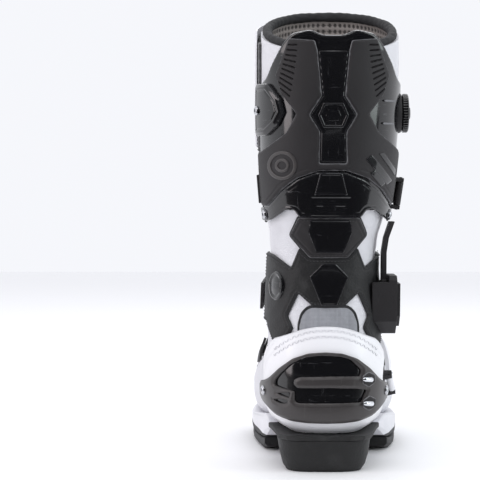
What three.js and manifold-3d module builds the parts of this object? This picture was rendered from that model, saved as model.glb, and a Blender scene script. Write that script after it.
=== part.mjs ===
// Off-road riding boot, right foot, as an assembly of separate pieces.
// Millimetres. +Z is up, +Y points to the toe, +X to the outer (lateral) side of the leg.
// The origin is the middle of the heel block's face on the ground.
import * as THREE from "three";
import { mergeVertices } from "three/addons/utils/BufferGeometryUtils.js";
import Module from "manifold-3d";

const wasm = await Module();
wasm.setup();

// Driving dimensions
const widthShare = 1; // widens or narrows the whole boot
const lengthShare = 1; // lengthens or shortens the foot and leg along Y
const gap = 0.3; // between pieces that touch
const leatherWall = 2.6;
const liningWall = 3;
const shellWall = 2.4;
const plateWall = 2.2;
const frameWall = 2.2;
const heelBlockHeight = 26;
const forefootTread = 9;
const anklePivot = { y: 6, z: 150 };
const strapWall = 2;
const dialRadius = 16;
const screwHeadRadius = 3.6;

// The leather upper is a sock: sections stand across the leg and fan round the ankle to the toe.
// Each one: front or top point (y, z), back or bottom point (y, z), inner x, outer x,
// squareness behind and in front.
const stations = [
  { front: [78, 404], back: [-50, 368], inner: -50, outer: 63, backSquare: 2.3, frontSquare: 2.2 },
  { front: [79, 372], back: [-50, 338], inner: -50, outer: 63, backSquare: 2.3, frontSquare: 2.2 },
  { front: [80, 340], back: [-51, 312], inner: -50, outer: 63, backSquare: 2.3, frontSquare: 2.2 },
  { front: [82, 300], back: [-50, 279], inner: -50, outer: 61, backSquare: 2.3, frontSquare: 2.2 },
  { front: [84, 255], back: [-46, 243], inner: -49, outer: 58, backSquare: 2.3, frontSquare: 2.2 },
  { front: [86, 217], back: [-38, 208], inner: -46, outer: 53, backSquare: 2.3, frontSquare: 2.2 },
  { front: [88, 187], back: [-31, 180], inner: -42, outer: 46, backSquare: 2.3, frontSquare: 2.2 },
  { front: [93, 164], back: [-30, 150], inner: -42.5, outer: 45.5, backSquare: 2.3, frontSquare: 2.2 },
  { front: [100, 148], back: [-34, 112], inner: -43.5, outer: 46.5, backSquare: 2.4, frontSquare: 2.2 },
  { front: [108, 137], back: [-38, 72], inner: -44, outer: 48, backSquare: 2.6, frontSquare: 2.2 },
  { front: [116, 127], back: [-31, 38], inner: -43, outer: 47, backSquare: 2.8, frontSquare: 2.2 },
  { front: [124, 119], back: [10, 31], inner: -43, outer: 50, backSquare: 3.2, frontSquare: 2.2 },
  { front: [134, 110], back: [60, 28], inner: -45, outer: 56, backSquare: 3.6, frontSquare: 2.2 },
  { front: [150, 100], back: [105, 24], inner: -49, outer: 63, backSquare: 3.8, frontSquare: 2.3 },
  { front: [171, 90], back: [145, 19], inner: -53, outer: 70, backSquare: 3.8, frontSquare: 2.4 },
  { front: [196, 81], back: [185, 17], inner: -54, outer: 70, backSquare: 3.6, frontSquare: 2.4 },
  { front: [221, 73], back: [218, 18], inner: -50, outer: 63, backSquare: 3.2, frontSquare: 2.4 },
  { front: [244, 62], back: [245, 21], inner: -40, outer: 51, backSquare: 2.8, frontSquare: 2.4 },
  { front: [260, 52], back: [262, 26], inner: -25, outer: 34, backSquare: 2.4, frontSquare: 2.2 },
  { front: [268, 43], back: [269, 33], inner: -8, outer: 16, backSquare: 2, frontSquare: 2 },
];
const lastStation = stations.length - 1;
const toePole = new THREE.Vector3(4, 271 * lengthShare, 38);
const collarStation = 1;
const gaiterEnd = 5.15; // the leg leather stops here and the flex zone begins
const flexEnd = 7.7; // the flex zone stops here and the foot leather begins
const seam = 0.02; // share of a station left open where two leathers meet

const degrees = Math.PI / 180;
const clamp = THREE.MathUtils.clamp;

// Catmull-Rom between four neighbours
function spline(a, b, c, d, s) {
  const square = 2 * a - 5 * b + 4 * c - d;
  const cube = 3 * b - a - 3 * c + d;
  return 0.5 * (2 * b + (c - a) * s + square * s * s + cube * s * s * s);
}

function station(t) {
  const i = clamp(Math.floor(t), 0, lastStation - 1);
  const pick = (read) => {
    const value = (k) => read(stations[clamp(k, 0, lastStation)]);
    return spline(value(i - 1), value(i), value(i + 1), value(i + 2), t - i);
  };
  return {
    front: [pick((s) => s.front[0]) * lengthShare, pick((s) => s.front[1])],
    back: [pick((s) => s.back[0]) * lengthShare, pick((s) => s.back[1])],
    inner: pick((s) => s.inner) * widthShare,
    outer: pick((s) => s.outer) * widthShare,
    backSquare: pick((s) => s.backSquare),
    frontSquare: pick((s) => s.frontSquare),
  };
}

// A point of the leather. The angle is 0 behind the leg or under the foot, +90 degrees on the outer side.
function skin(t, angle) {
  const s = station(t);
  const across = Math.sin(angle);
  const along = Math.cos(angle);
  const square = along > 0 ? s.backSquare : s.frontSquare;
  const sx = Math.sign(across) * Math.abs(across) ** (2 / square);
  const sr = Math.sign(along) * Math.abs(along) ** (2 / square);
  const x = (s.inner + s.outer) / 2 + ((s.outer - s.inner) / 2) * sx;
  const share = (1 + sr) / 2;
  return new THREE.Vector3(
    x,
    THREE.MathUtils.lerp(s.front[0], s.back[0], share),
    THREE.MathUtils.lerp(s.front[1], s.back[1], share),
  );
}

function skinNormal(t, angle) {
  const step = 0.03;
  const dt = skin(Math.min(t + step, lastStation), angle).sub(skin(Math.max(t - step, 0), angle));
  const da = skin(t, angle + step).sub(skin(t, angle - step));
  return dt.cross(da).normalize();
}

function raised(t, angle, height) {
  return skin(t, angle).addScaledVector(skinNormal(t, angle), height);
}

// Closed solids

function geometryFrom(points, faces) {
  const geometry = new THREE.BufferGeometry().setFromPoints(points);
  geometry.setIndex(faces);
  return geometry;
}

function solid(geometry) {
  const plain = geometry.clone();
  plain.deleteAttribute("normal");
  plain.deleteAttribute("uv");
  const merged = mergeVertices(plain, 1e-4);
  const made = new wasm.Manifold(
    new wasm.Mesh({
      numProp: 3,
      vertProperties: new Float32Array(merged.attributes.position.array),
      triVerts: new Uint32Array(merged.index.array),
    }),
  );
  return made;
}

function geometryOf(body) {
  const mesh = body.getMesh();
  const geometry = new THREE.BufferGeometry();
  geometry.setAttribute("position", new THREE.BufferAttribute(new Float32Array(mesh.vertProperties), 3));
  geometry.setIndex(new THREE.BufferAttribute(new Uint32Array(mesh.triVerts), 1));
  return geometry;
}

// Keeps the largest body, because a cut can leave slivers.
function largest(body) {
  const parts = body.decompose();
  return parts.reduce((best, one) => (one.volume() > best.volume() ? one : best), parts[0]);
}

// Rings of equal length, closed round, with a cap at each end.
function loft(rings) {
  const n = rings[0].length;
  const points = rings.flat();
  const faces = [];
  for (let i = 0; i < rings.length - 1; i++)
    for (let j = 0; j < n; j++) {
      const a = i * n + j;
      const b = i * n + ((j + 1) % n);
      faces.push(a, b, b + n, a, b + n, a + n);
    }
  const last = (rings.length - 1) * n;
  for (let j = 1; j < n - 1; j++) faces.push(0, j + 1, j, last, last + j, last + j + 1);
  return geometryFrom(points, faces);
}

function outward(geometry) {
  const body = solid(geometry);
  if (body.volume() > 0) return body;
  const flipped = geometry.clone();
  const index = Array.from(flipped.index.array);
  for (let i = 0; i < index.length; i += 3) [index[i + 1], index[i + 2]] = [index[i + 2], index[i + 1]];
  flipped.setIndex(index);
  return solid(flipped);
}

// A curved slab between two heights over the leather, from station t0 to t1 and angle a0 to a1 in degrees.
function slab({ t0, t1, a0, a1, low, high, rows = 6, columns = 10 }) {
  const rings = [];
  for (let i = 0; i <= rows; i++) {
    const t = THREE.MathUtils.lerp(t0, t1, i / rows);
    const ring = [];
    for (let j = 0; j <= columns; j++)
      ring.push(raised(t, THREE.MathUtils.lerp(a0, a1, j / columns) * degrees, high));
    for (let j = columns; j >= 0; j--)
      ring.push(raised(t, THREE.MathUtils.lerp(a0, a1, j / columns) * degrees, low));
    rings.push(ring);
  }
  const n = 2 * (columns + 1);
  const points = rings.flat();
  const faces = [];
  for (let i = 0; i < rows; i++)
    for (let j = 0; j < n; j++) {
      const a = i * n + j;
      const b = i * n + ((j + 1) % n);
      faces.push(a, b, b + n, a, b + n, a + n);
    }
  for (const [row, turn] of [
    [0, 1],
    [rows, -1],
  ])
    for (let j = 0; j < columns; j++) {
      const a = row * n + j;
      const b = a + 1;
      const c = row * n + (n - 2 - j);
      const d = row * n + (n - 1 - j);
      if (turn > 0) faces.push(a, c, b, a, d, c);
      else faces.push(a, b, c, a, c, d);
    }
  return outward(geometryFrom(points, faces));
}

// A hollow sleeve all the way round, or closed over the toe.
function sleeve({ t0, t1, low, high, rows, columns, toe = false }) {
  const points = [];
  const faces = [];
  const ringAt = (t, height) => {
    const first = points.length;
    for (let j = 0; j < columns; j++) points.push(raised(t, (j / columns) * 2 * Math.PI, height));
    return first;
  };
  const wall = (a, b) => {
    for (let j = 0; j < columns; j++) {
      const k = (j + 1) % columns;
      faces.push(a + j, a + k, b + k, a + j, b + k, b + j);
    }
  };
  const times = Array.from({ length: rows + 1 }, (_, i) => THREE.MathUtils.lerp(t0, t1, i / rows));
  const outside = times.map((t) => ringAt(t, high));
  const inside = times.map((t) => ringAt(t, low));
  for (let i = 0; i < rows; i++) {
    wall(outside[i], outside[i + 1]);
    wall(inside[i + 1], inside[i]);
  }
  wall(inside[0], outside[0]);
  if (toe) {
    const tip = (ring, height, turn) => {
      const pole = points.push(toePole.clone().setY(toePole.y + height)) - 1;
      for (let j = 0; j < columns; j++) {
        const k = (j + 1) % columns;
        if (turn > 0) faces.push(ring + j, ring + k, pole);
        else faces.push(ring + k, ring + j, pole);
      }
    };
    tip(outside[rows], high, 1);
    tip(inside[rows], low, -1);
  } else wall(outside[rows], inside[rows]);
  return outward(geometryFrom(points, faces));
}

// The whole sock as one filled volume at a height over the leather.
function filledSock(height, t0 = 0, t1 = lastStation, rows = 44, columns = 24) {
  const rings = [];
  for (let i = 0; i <= rows; i++) {
    const t = THREE.MathUtils.lerp(t0, t1, i / rows);
    rings.push(Array.from({ length: columns }, (_, j) => raised(t, (j / columns) * 2 * Math.PI, height)));
  }
  if (t1 === lastStation) {
    const tip = toePole.clone().setY(toePole.y + height);
    rings.push(rings[rows].map((p) => tip.clone().lerp(p, 0.02)));
  }
  return outward(loft(rings));
}

function polygonPrism(outline, depth) {
  const shape = new THREE.Shape(outline.map(([a, b]) => new THREE.Vector2(a, b)));
  return new THREE.ExtrudeGeometry(shape, { depth, bevelEnabled: false, curveSegments: 6 });
}

// An outline in x and z, seen from behind, run along y
function prismAlongY(outline, y0, y1) {
  const geometry = polygonPrism(outline, y1 - y0);
  geometry.rotateX(Math.PI / 2);
  geometry.translate(0, y1, 0);
  return outward(geometry.index ? geometry : mergeVertices(plainCopy(geometry), 1e-4));
}

// An outline in y and z, seen from the side, run along x
function prismAlongX(outline, x0, x1) {
  const geometry = polygonPrism(outline, x1 - x0);
  geometry.rotateX(Math.PI / 2);
  geometry.rotateZ(Math.PI / 2);
  geometry.translate(x0, 0, 0);
  return outward(mergeVertices(plainCopy(geometry), 1e-4));
}

function plainCopy(geometry) {
  const copy = geometry.clone();
  copy.deleteAttribute("normal");
  copy.deleteAttribute("uv");
  return copy;
}

function box(x0, x1, y0, y1, z0, z1) {
  const geometry = new THREE.BoxGeometry(x1 - x0, y1 - y0, z1 - z0);
  geometry.translate((x0 + x1) / 2, (y0 + y1) / 2, (z0 + z1) / 2);
  return outward(mergeVertices(plainCopy(geometry), 1e-4));
}

// A cylinder from one point to another
function rod(from, to, radius, sides = 16, farRadius = radius) {
  const length = from.distanceTo(to);
  const geometry = new THREE.CylinderGeometry(farRadius, radius, length, sides);
  const direction = to.clone().sub(from).normalize();
  const turn = new THREE.Quaternion().setFromUnitVectors(new THREE.Vector3(0, 1, 0), direction);
  geometry.applyQuaternion(turn);
  const middle = from.clone().lerp(to, 0.5);
  geometry.translate(middle.x, middle.y, middle.z);
  return outward(mergeVertices(plainCopy(geometry), 1e-4));
}

// Places on the leather, found by stepping towards them

function placeOnBack(x, z) {
  let t = 4;
  let angle = 0;
  for (let i = 0; i < 60; i++) {
    const p = skin(t, angle);
    const rise = (skin(t + 0.05, angle).z - p.z) / 0.05;
    const run = (skin(t, angle + 0.02).x - p.x) / 0.02;
    t = clamp(t + clamp((z - p.z) / rise, -0.5, 0.5), 0, 10);
    angle = clamp(angle + clamp((x - p.x) / Math.max(run, 8), -0.2, 0.2), -1.5, 1.5);
  }
  return { t, angle };
}

function placeOnSide(y, z, side) {
  let best = { t: 0, angle: 0 };
  let nearest = Infinity;
  for (let t = 0; t < 17; t += 0.05)
    for (let a = 20; a < 160; a += 1) {
      const p = skin(t, side * a * degrees);
      const away = Math.hypot(p.y - y, p.z - z);
      if (away < nearest) {
        nearest = away;
        best = { t, angle: side * a * degrees };
      }
    }
  return best;
}

// Outlines seen from behind are drawn as one half, from the centre line round to the centre line.
function bothHalves(half, centre) {
  const right = half.map(([x, z]) => [(centre + x) * widthShare, z]);
  const left = half
    .filter(([x]) => x > 0)
    .reverse()
    .map(([x, z]) => [(centre - x) * widthShare, z]);
  return [...right, ...left];
}

function backPlate(area, outline) {
  return largest(slab(area).intersect(prismAlongY(outline, -90, 60)));
}

// A strap or lever of constant width that runs round the leather along one station
function band({ centre, width, a0, a1, low, high, columns = 14 }) {
  const rings = [];
  for (let j = 0; j <= columns; j++) {
    const share = j / columns;
    const angle = THREE.MathUtils.lerp(a0, a1, share) * degrees;
    const perStation = skin(centre + 0.1, angle).distanceTo(skin(centre - 0.1, angle)) / 0.2;
    const reach = width / 2 / perStation;
    const ring = [];
    for (const across of [-1, -0.33, 0.33, 1]) ring.push(raised(centre + across * reach, angle, high));
    for (const across of [1, 0.33, -0.33, -1]) ring.push(raised(centre + across * reach, angle, low));
    rings.push(ring);
  }
  return outward(loft(rings));
}

// Directions on the leather: along the stations, round the leg, and out
function axesAt(t, angle) {
  const step = 0.05;
  const along = skin(t + step, angle).sub(skin(t - step, angle)).normalize();
  const out = skinNormal(t, angle);
  const round = skin(t, angle + step).sub(skin(t, angle - step));
  round.addScaledVector(out, -round.dot(out)).normalize();
  along.crossVectors(round, out).normalize();
  return { along, round, out };
}

function screwHead(t, angle, low, radius = screwHeadRadius) {
  const base = raised(t, angle, low);
  const { out } = axesAt(t, angle);
  const top = base.clone().addScaledVector(out, 2);
  const socket = rod(base.clone().addScaledVector(out, 0.9), base.clone().addScaledVector(out, 3), 1.6, 6);
  return largest(rod(base, top, radius, 20, radius * 0.78).subtract(socket));
}

const root = new THREE.Group();
const materials = {
  whiteLeather: new THREE.MeshStandardMaterial({ color: 0xe4e4e6, roughness: 0.6, metalness: 0 }),
  whitePlastic: new THREE.MeshStandardMaterial({ color: 0xeeeeef, roughness: 0.4, metalness: 0 }),
  greyPad: new THREE.MeshStandardMaterial({ color: 0x8c8a8b, roughness: 0.8, metalness: 0 }),
  matteShell: new THREE.MeshStandardMaterial({ color: 0x3a383a, roughness: 0.6, metalness: 0 }),
  glossShell: new THREE.MeshStandardMaterial({ color: 0x0c0c0d, roughness: 0.15, metalness: 0 }),
  rubber: new THREE.MeshStandardMaterial({ color: 0x2b2929, roughness: 0.85, metalness: 0 }),
  meshLining: new THREE.MeshStandardMaterial({ color: 0x453f3d, roughness: 0.95, metalness: 0 }),
  binding: new THREE.MeshStandardMaterial({ color: 0x26272a, roughness: 0.8, metalness: 0 }),
  webbing: new THREE.MeshStandardMaterial({ color: 0x17171a, roughness: 0.9, metalness: 0 }),
  steel: new THREE.MeshStandardMaterial({ color: 0xc9c9cc, roughness: 0.3, metalness: 1 }),
};

function add(name, body, material) {
  const mesh = new THREE.Mesh(geometryOf(body), material);
  mesh.name = name;
  root.add(mesh);
  return body;
}

// Upper leathers, lining and collar
add(
  "leg_leather",
  sleeve({ t0: collarStation, t1: gaiterEnd - seam, low: -leatherWall, high: 0, rows: 6, columns: 20 }),
  materials.whiteLeather,
);
add(
  "flex_leather",
  sleeve({ t0: gaiterEnd, t1: flexEnd - seam, low: -leatherWall, high: 0, rows: 5, columns: 20 }),
  materials.whiteLeather,
);
const footRows = 17;
const footColumns = 20;
const footArea = { t0: flexEnd, t1: lastStation, rows: footRows, columns: footColumns };
add("foot_leather", sleeve({ ...footArea, low: -leatherWall, high: 0, toe: true }), materials.whiteLeather);
const liningTop = -leatherWall - gap;
add(
  "cuff_lining",
  sleeve(
    {
      t0: collarStation,
      t1: gaiterEnd - seam,
      low: liningTop - liningWall,
      high: liningTop,
      rows: 6,
      columns: 20,
    },
  ),
  materials.meshLining,
);
const insoleArea = { t0: 10.1, t1: 17.2, a0: -38, a1: 38, rows: 10, columns: 5 };
const insideFoot = filledSock(-leatherWall - gap, flexEnd, lastStation, footRows, footColumns);
const insole = slab({ ...insoleArea, low: liningTop - 4.2, high: liningTop - 0.8 }).intersect(insideFoot);
add("insole", largest(insole), materials.greyPad);

const bindingRadius = 4;
{
  const s = station(collarStation);
  const tilt = Math.atan2(s.front[1] - s.back[1], s.front[0] - s.back[0]);
  const up = new THREE.Vector3(0, -Math.sin(tilt), Math.cos(tilt));
  const turns = 32;
  const sides = 8;
  const points = [];
  const faces = [];
  for (let j = 0; j < turns; j++) {
    const angle = (j / turns) * 2 * Math.PI;
    const centre = raised(
      collarStation, angle, -bindingRadius - 1.8,
    ).addScaledVector(up, bindingRadius + gap + 0.1);
    const out = skinNormal(collarStation, angle);
    out.addScaledVector(up, -out.dot(up)).normalize();
    for (let k = 0; k < sides; k++) {
      const turn = ((k + 0.5) / sides) * 2 * Math.PI;
      const p = centre.clone().addScaledVector(out, bindingRadius * Math.cos(turn));
      points.push(p.addScaledVector(up, bindingRadius * Math.sin(turn)));
      const a = j * sides + k;
      const b = j * sides + ((k + 1) % sides);
      const next = ((j + 1) % turns) * sides;
      faces.push(a, b, next + ((k + 1) % sides), a, next + ((k + 1) % sides), next + k);
    }
  }
  add("collar_binding", outward(geometryFrom(points, faces)), materials.binding);
}

// Rear calf armour
const spineX = 6.5;
const shellLow = 0.5;
const shellHigh = shellLow + shellWall;
const plateLow = shellHigh + gap;
const plateHigh = plateLow + plateWall;
const dialSpot = { y: 6, z: 290 };
const dialBaseRadius = dialRadius + 1.5;
const dialFace = station(3).outer + 4;
const dialWell = rod(
  new THREE.Vector3(30, dialSpot.y, dialSpot.z),
  new THREE.Vector3(90, dialSpot.y, dialSpot.z),
  dialBaseRadius + 0.5,
  28,
);

const shellOutline = [
  [0, 350.2], [9, 350.4], [18, 354.8], [34, 352], [41, 344], [49, 329], [53, 318], [62, 309], [80, 306],
  [80, 207], [47, 207], [36, 222], [14, 236], [0, 236],
];
const calfArea = { t0: 0.35, t1: 5.5, a0: -76, a1: 76, rows: 9, columns: 14 };
const calfShell = backPlate(
  { ...calfArea, low: shellLow, high: shellHigh },
  bothHalves(shellOutline, spineX),
);
add("calf_shell", largest(calfShell.subtract(dialWell)), materials.glossShell);

const wingOutline = [
  [0, 248.5], [11, 248.5], [10.4, 273.2], [19, 287.2], [9.2, 302], [12.7, 337.5], [15, 346],
  [36, 348], [46.5, 319.5], [42, 304], [29.8, 288], [38, 273], [58, 258.5], [80, 257], [80, 215],
  [52, 214], [41, 227.6], [28.5, 236.8], [11.5, 242.5], [0, 242.5],
];
const calfPlate = backPlate(
  { ...calfArea, low: plateLow, high: plateHigh },
  bothHalves(wingOutline, spineX),
);
add("calf_plate", largest(calfPlate.subtract(dialWell)), materials.matteShell);

const spinePanel = [
  [0, 338], [12, 337.6], [8.6, 302], [18.3, 287.2], [9.8, 273.4], [10.4, 249.2], [0, 249.2],
];
add(
  "spine_panel",
  backPlate({ ...calfArea, low: plateLow, high: plateLow + 1.2 }, bothHalves(spinePanel, spineX)),
  materials.glossShell,
);
const badge = [[0, 296.4], [8, 296.4], [12.2, 286.6], [8, 276.8], [0, 276.8]];
add(
  "spine_badge",
  backPlate({ ...calfArea, low: plateLow + 1.5, high: plateLow + 2.8 }, bothHalves(badge, spineX)),
  materials.glossShell,
);

// Achilles brace under the calf plate, with its tab and the two screws it hangs on
const braceX = 5;
const braceBottom = 205.4;
const braceOutline = [
  [0, 241.6], [11.3, 241.3], [28, 235.4], [40, 226], [51, 212.8], [80, 212.8], [80, 202],
  [49, 202], [37, 211], [29.5, 211], [25.5, braceBottom], [0, braceBottom],
];
const brace = backPlate(
  { ...calfArea, low: plateLow, high: plateHigh + 0.3 },
  bothHalves(braceOutline, braceX),
);
const tabOutline = [[0, 240.8], [9, 240.8], [13.4, 223.4], [0, 223.4]];
const braceTab = backPlate(
  { ...calfArea, low: plateLow + 0.5, high: plateHigh + 1.5 },
  bothHalves(tabOutline, braceX),
);
add("achilles_brace", largest(brace.add(braceTab)), materials.glossShell);
for (const [name, x, z] of [["brace_screw_inner", -41.5, 208.2], ["brace_screw_outer", 48.5, 207.8]]) {
  const spot = placeOnBack(x * widthShare, z);
  add(name, screwHead(spot.t, spot.angle, plateHigh + 0.6), materials.steel);
}

// Clamp on the inner edge of the calf shell
const clampOutline = [
  [-80, 313], [-47, 313], [-37, 300], [-34, 289], [-39, 279], [-48, 271], [-80, 270],
].map(([x, z]) => [x * widthShare, z]);
const clampBody = slab(
  { t0: 1.9, t1: 3.6, a0: -74, a1: -30, low: plateLow, high: plateHigh + 2.4, rows: 4, columns: 5 },
);
add("calf_clamp", largest(clampBody.intersect(prismAlongY(clampOutline, -90, 60))), materials.matteShell);
const clampSpot = placeOnBack(-46 * widthShare, 291.5);
add("clamp_screw", screwHead(clampSpot.t, clampSpot.angle, plateHigh + 2.7), materials.steel);

// Tension dial on the outer side, with the lace that it winds
const seat = filledSock(0.4, 0.5, 6, 14, 24);
const dialAt = (x) => new THREE.Vector3(x, dialSpot.y, dialSpot.z);
add(
  "dial_base",
  largest(rod(dialAt(48), dialAt(dialFace), dialBaseRadius, 28, dialBaseRadius - 1.5).subtract(seat)),
  materials.glossShell,
);
{
  const teeth = 20;
  const rim = [];
  for (let k = 0; k < teeth * 2; k++) {
    const turn = (k / (teeth * 2)) * 2 * Math.PI;
    const r = k % 2 ? dialRadius : dialRadius - 1;
    rim.push([r * Math.cos(turn), r * Math.sin(turn)]);
  }
  const knob = prismAlongX(rim, 0, 5.4).translate([dialFace + gap, dialSpot.y, dialSpot.z]);
  const well = rod(dialAt(dialFace + 1.8), dialAt(dialFace + 9), 5.4, 20);
  add("dial_knob", largest(knob.subtract(well)), materials.matteShell);
  add("dial_button", rod(dialAt(dialFace + 3.6), dialAt(dialFace + 7.2), 5, 20, 4.4), materials.glossShell);
}
function lace(z, radius = 0.8) {
  const rings = [];
  const steps = 7;
  for (let i = 0; i <= steps; i++) {
    const angle = THREE.MathUtils.lerp(41, 57, i / steps) * degrees;
    const t = placeOnBack(legX(angle, z), z).t;
    const centre = raised(t, angle, shellHigh + 1.2);
    const { along, out } = axesAt(t, angle);
    rings.push(
      Array.from({ length: 8 }, (_, k) => {
        const turn = (k / 8) * 2 * Math.PI;
        return centre.clone().addScaledVector(
          along, radius * Math.cos(turn),
        ).addScaledVector(out, radius * Math.sin(turn));
      }),
    );
  }
  return outward(loft(rings));
}
function legX(angle, z) {
  let t = 3;
  for (let i = 0; i < 30; i++) {
    const slope = (skin(t + 0.05, angle).z - skin(t, angle).z) / 0.05;
    t += (z - skin(t, angle).z) / slope;
  }
  return skin(t, angle).x;
}
add("dial_lace_upper", lace(dialSpot.z + 9), materials.steel);
add("dial_lace_lower", lace(dialSpot.z - 9), materials.steel);

// Front and inner side of the cuff
add(
  "shin_plate",
  slab({ t0: 1.15, t1: 5.1, a0: 112, a1: 194, low: 0.4, high: 3.2, rows: 6, columns: 8 }),
  materials.whitePlastic,
);
add(
  "shin_insert",
  slab({ t0: 1.8, t1: 3.9, a0: 140, a1: 182, low: 3.5, high: 5, rows: 4, columns: 4 }),
  materials.matteShell,
);
add(
  "grip_panel",
  slab({ t0: 3.95, t1: 5.4, a0: -150, a1: -80, low: 0.4, high: 2.4, rows: 3, columns: 6 }),
  materials.rubber,
);
add(
  "closure_flap",
  slab({ t0: 1.15, t1: 3.8, a0: 197, a1: 268, low: 0.4, high: 3, rows: 4, columns: 7 }),
  materials.webbing,
);
add(
  "flap_facing",
  slab({ t0: 0.95, t1: 3.7, a0: 206, a1: 268, low: 3.4, high: 5.4, rows: 4, columns: 6 }),
  materials.whitePlastic,
);

// Achilles plate: flares out over the ankle frame at its lower edge
const frameLow = 0.6;
const frameHigh = frameLow + frameWall;
const achillesX = 4;
const achillesLow = frameLow + 0.9;
const achillesHigh = achillesLow + plateWall;
const achillesOutline = [
  [0, braceBottom - 0.4], [25, braceBottom - 0.4], [32, 190.5], [15.5, 172.6], [0, 172.6],
];
add(
  "achilles_plate",
  backPlate(
    { t0: 4.9, t1: 6.6, a0: -60, a1: 60, low: achillesLow, high: achillesHigh, rows: 5, columns: 12 },
    bothHalves(achillesOutline, achillesX),
  ),
  materials.matteShell,
);
const achillesInset = [[0, 203.6], [16.5, 203.6], [17.9, 193], [11.5, 177], [0, 177]];
add(
  "achilles_inset",
  backPlate(
    {
      t0: 4.9, t1: 6.6, a0: -40, a1: 40, low: achillesHigh + 0.5, high: achillesHigh + 1.3, rows: 5,
      columns: 12,
    },
    bothHalves(achillesInset, achillesX + 1),
  ),
  materials.glossShell,
);

// Ankle frame with its two arms down to the heel
const frameX = 4;
const frameOutline = [
  [0, 172], [15.2, 172], [24.4, 180.6], [31, 164.5], [46, 174.5], [80, 175.5], [80, 118],
  [50, 118], [42.5, 97], [38.5, 99], [29.5, 116], [34, 125.5], [25, 144], [13, 133.7], [0, 133.7],
];
const frameArea = {
  t0: 5.8, t1: 9.4, a0: -98, a1: 98, low: frameLow, high: frameHigh, rows: 9, columns: 18,
};
add("ankle_frame", backPlate(frameArea, bothHalves(frameOutline, frameX)), materials.matteShell);
const frameInset = [[0, 168], [5.4, 168], [16, 157.6], [6.6, 134.6], [0, 134.6]];
add(
  "frame_inset",
  backPlate(
    { ...frameArea, low: frameHigh + 0.3, high: frameHigh + 1.2 },
    bothHalves(frameInset, frameX + 0.3),
  ),
  materials.glossShell,
);
const frameSeat = filledSock(frameHigh + gap + 0.3, 4.5, 10, 16, 24);
{
  const spot = placeOnBack(-37.5 * widthShare, 149);
  const { out } = axesAt(spot.t, spot.angle);
  const centre = raised(spot.t, spot.angle, frameHigh);
  const disc = rod(
    centre.clone().addScaledVector(out, -6),
    centre.clone().addScaledVector(out, 1.8),
    12,
    24,
    11,
  );
  add("ankle_disc", largest(disc.subtract(frameSeat)), materials.matteShell);
}

// Outer hinge: an arm on the cuff turns on a pin in the ankle frame, under a cover
const armInner = station(7).outer + 3.1;
const armOuter = armInner + 4.2;
const armWidth = 6.5;
const pinRadius = 3.4;
const pinClearance = 0.15;
{
  const across = (x, y, z, half) => [
    [x, y - half, z], [x, y + half, z], [x + armOuter - armInner, y + half, z],
    [x + armOuter - armInner, y - half, z],
  ].map((p) => new THREE.Vector3(...p));
  const arm = outward(loft([
    across(armInner, anklePivot.y, anklePivot.z, armWidth), across(armInner, 4, 176, armWidth),
    across(armInner + 1.6, 1, 188, armWidth), across(armInner + 5.9, -3, 201.4, armWidth + 2),
  ]));
  const eye = rod(
    new THREE.Vector3(armInner, anklePivot.y, anklePivot.z),
    new THREE.Vector3(armOuter, anklePivot.y, anklePivot.z),
    armWidth + 1.5,
    28,
  );
  const bore = rod(
    new THREE.Vector3(30, anklePivot.y, anklePivot.z),
    new THREE.Vector3(70, anklePivot.y, anklePivot.z),
    pinRadius + pinClearance,
    24,
  );
  const cuffSeat = filledSock(0.5, 4, 6.2, 8, 28);
  add("hinge_arm", largest(arm.add(eye).subtract(bore).subtract(cuffSeat)), materials.matteShell);
  add(
    "hinge_pin",
    rod(
      new THREE.Vector3(armInner - 0.5, anklePivot.y, anklePivot.z),
      new THREE.Vector3(armOuter + 0.5, anklePivot.y, anklePivot.z),
      pinRadius,
      24,
    ),
    materials.steel,
  );
  const coverOutline = [
    [-17, 154], [-12, 157.5], [20, 157.5], [27, 150], [29, 126], [20, 113], [2, 109], [-13, 120],
  ];
  const bevel = [[-11, 151], [22, 151], [23, 128], [16, 118], [3, 115], [-8, 124]];
  const cover = prismAlongX(coverOutline, armInner - 8.6, armOuter + 7.7).add(
    prismAlongX(bevel, armOuter + 7.2, armOuter + 10.7),
  );
  const pocket = box(30, armOuter + 1, anklePivot.y - 11, anklePivot.y + 11, 139.5, 170)
    .add(
      rod(
        new THREE.Vector3(30, anklePivot.y, anklePivot.z),
        new THREE.Vector3(armOuter + 1, anklePivot.y, anklePivot.z),
        12,
        28,
      ),
    )
    .add(box(30, armOuter + 1, -40, 40, 152, 170));
  add("hinge_cover", largest(cover.subtract(pocket).subtract(frameSeat)), materials.matteShell);
}

// Heel: grey pad, white cup, black guard with two slots over a liner, two reflector pins and screws
add(
  "achilles_pad",
  backPlate(
    { t0: 7.2, t1: 8.8, a0: -45, a1: 45, low: 0.5, high: 1.7, rows: 4, columns: 8 },
    bothHalves([[0, 133.2], [16, 133.2], [21.5, 128], [24, 119], [24, 106], [0, 106]], frameX),
  ),
  materials.greyPad,
);
const cupLow = 2;
const cupHigh = cupLow + 2.8;
const cupOutline = [
  [-70, 118.5], [-34, 118], [-15, 107], [5, 94], [22, 78], [36, 59], [47, 40], [47, 30.6], [-70, 30.6],
].map(([y, z]) => [y * lengthShare, z]);
const clearOutline = frameOutline.map(([x, z]) => [x, z < 119 ? z - 0.8 : z]);
const clearArea = { ...frameArea, t1: 9.6, a0: -99, a1: 99, low: 0, high: frameHigh + gap };
const frameClear = slab(clearArea).intersect(prismAlongY(bothHalves(clearOutline, frameX), -90, 70));
add(
  "heel_cup",
  largest(
    slab(
      { t0: 7.6, t1: 11.9, a0: -112, a1: 112, low: cupLow, high: cupHigh, rows: 10, columns: 18 },
    ).intersect(prismAlongX(cupOutline, -90, 90)).subtract(frameClear),
  ),
  materials.whiteLeather,
);
const linerLow = cupHigh + gap * 2;
const guardLow = linerLow + 1.3;
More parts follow.
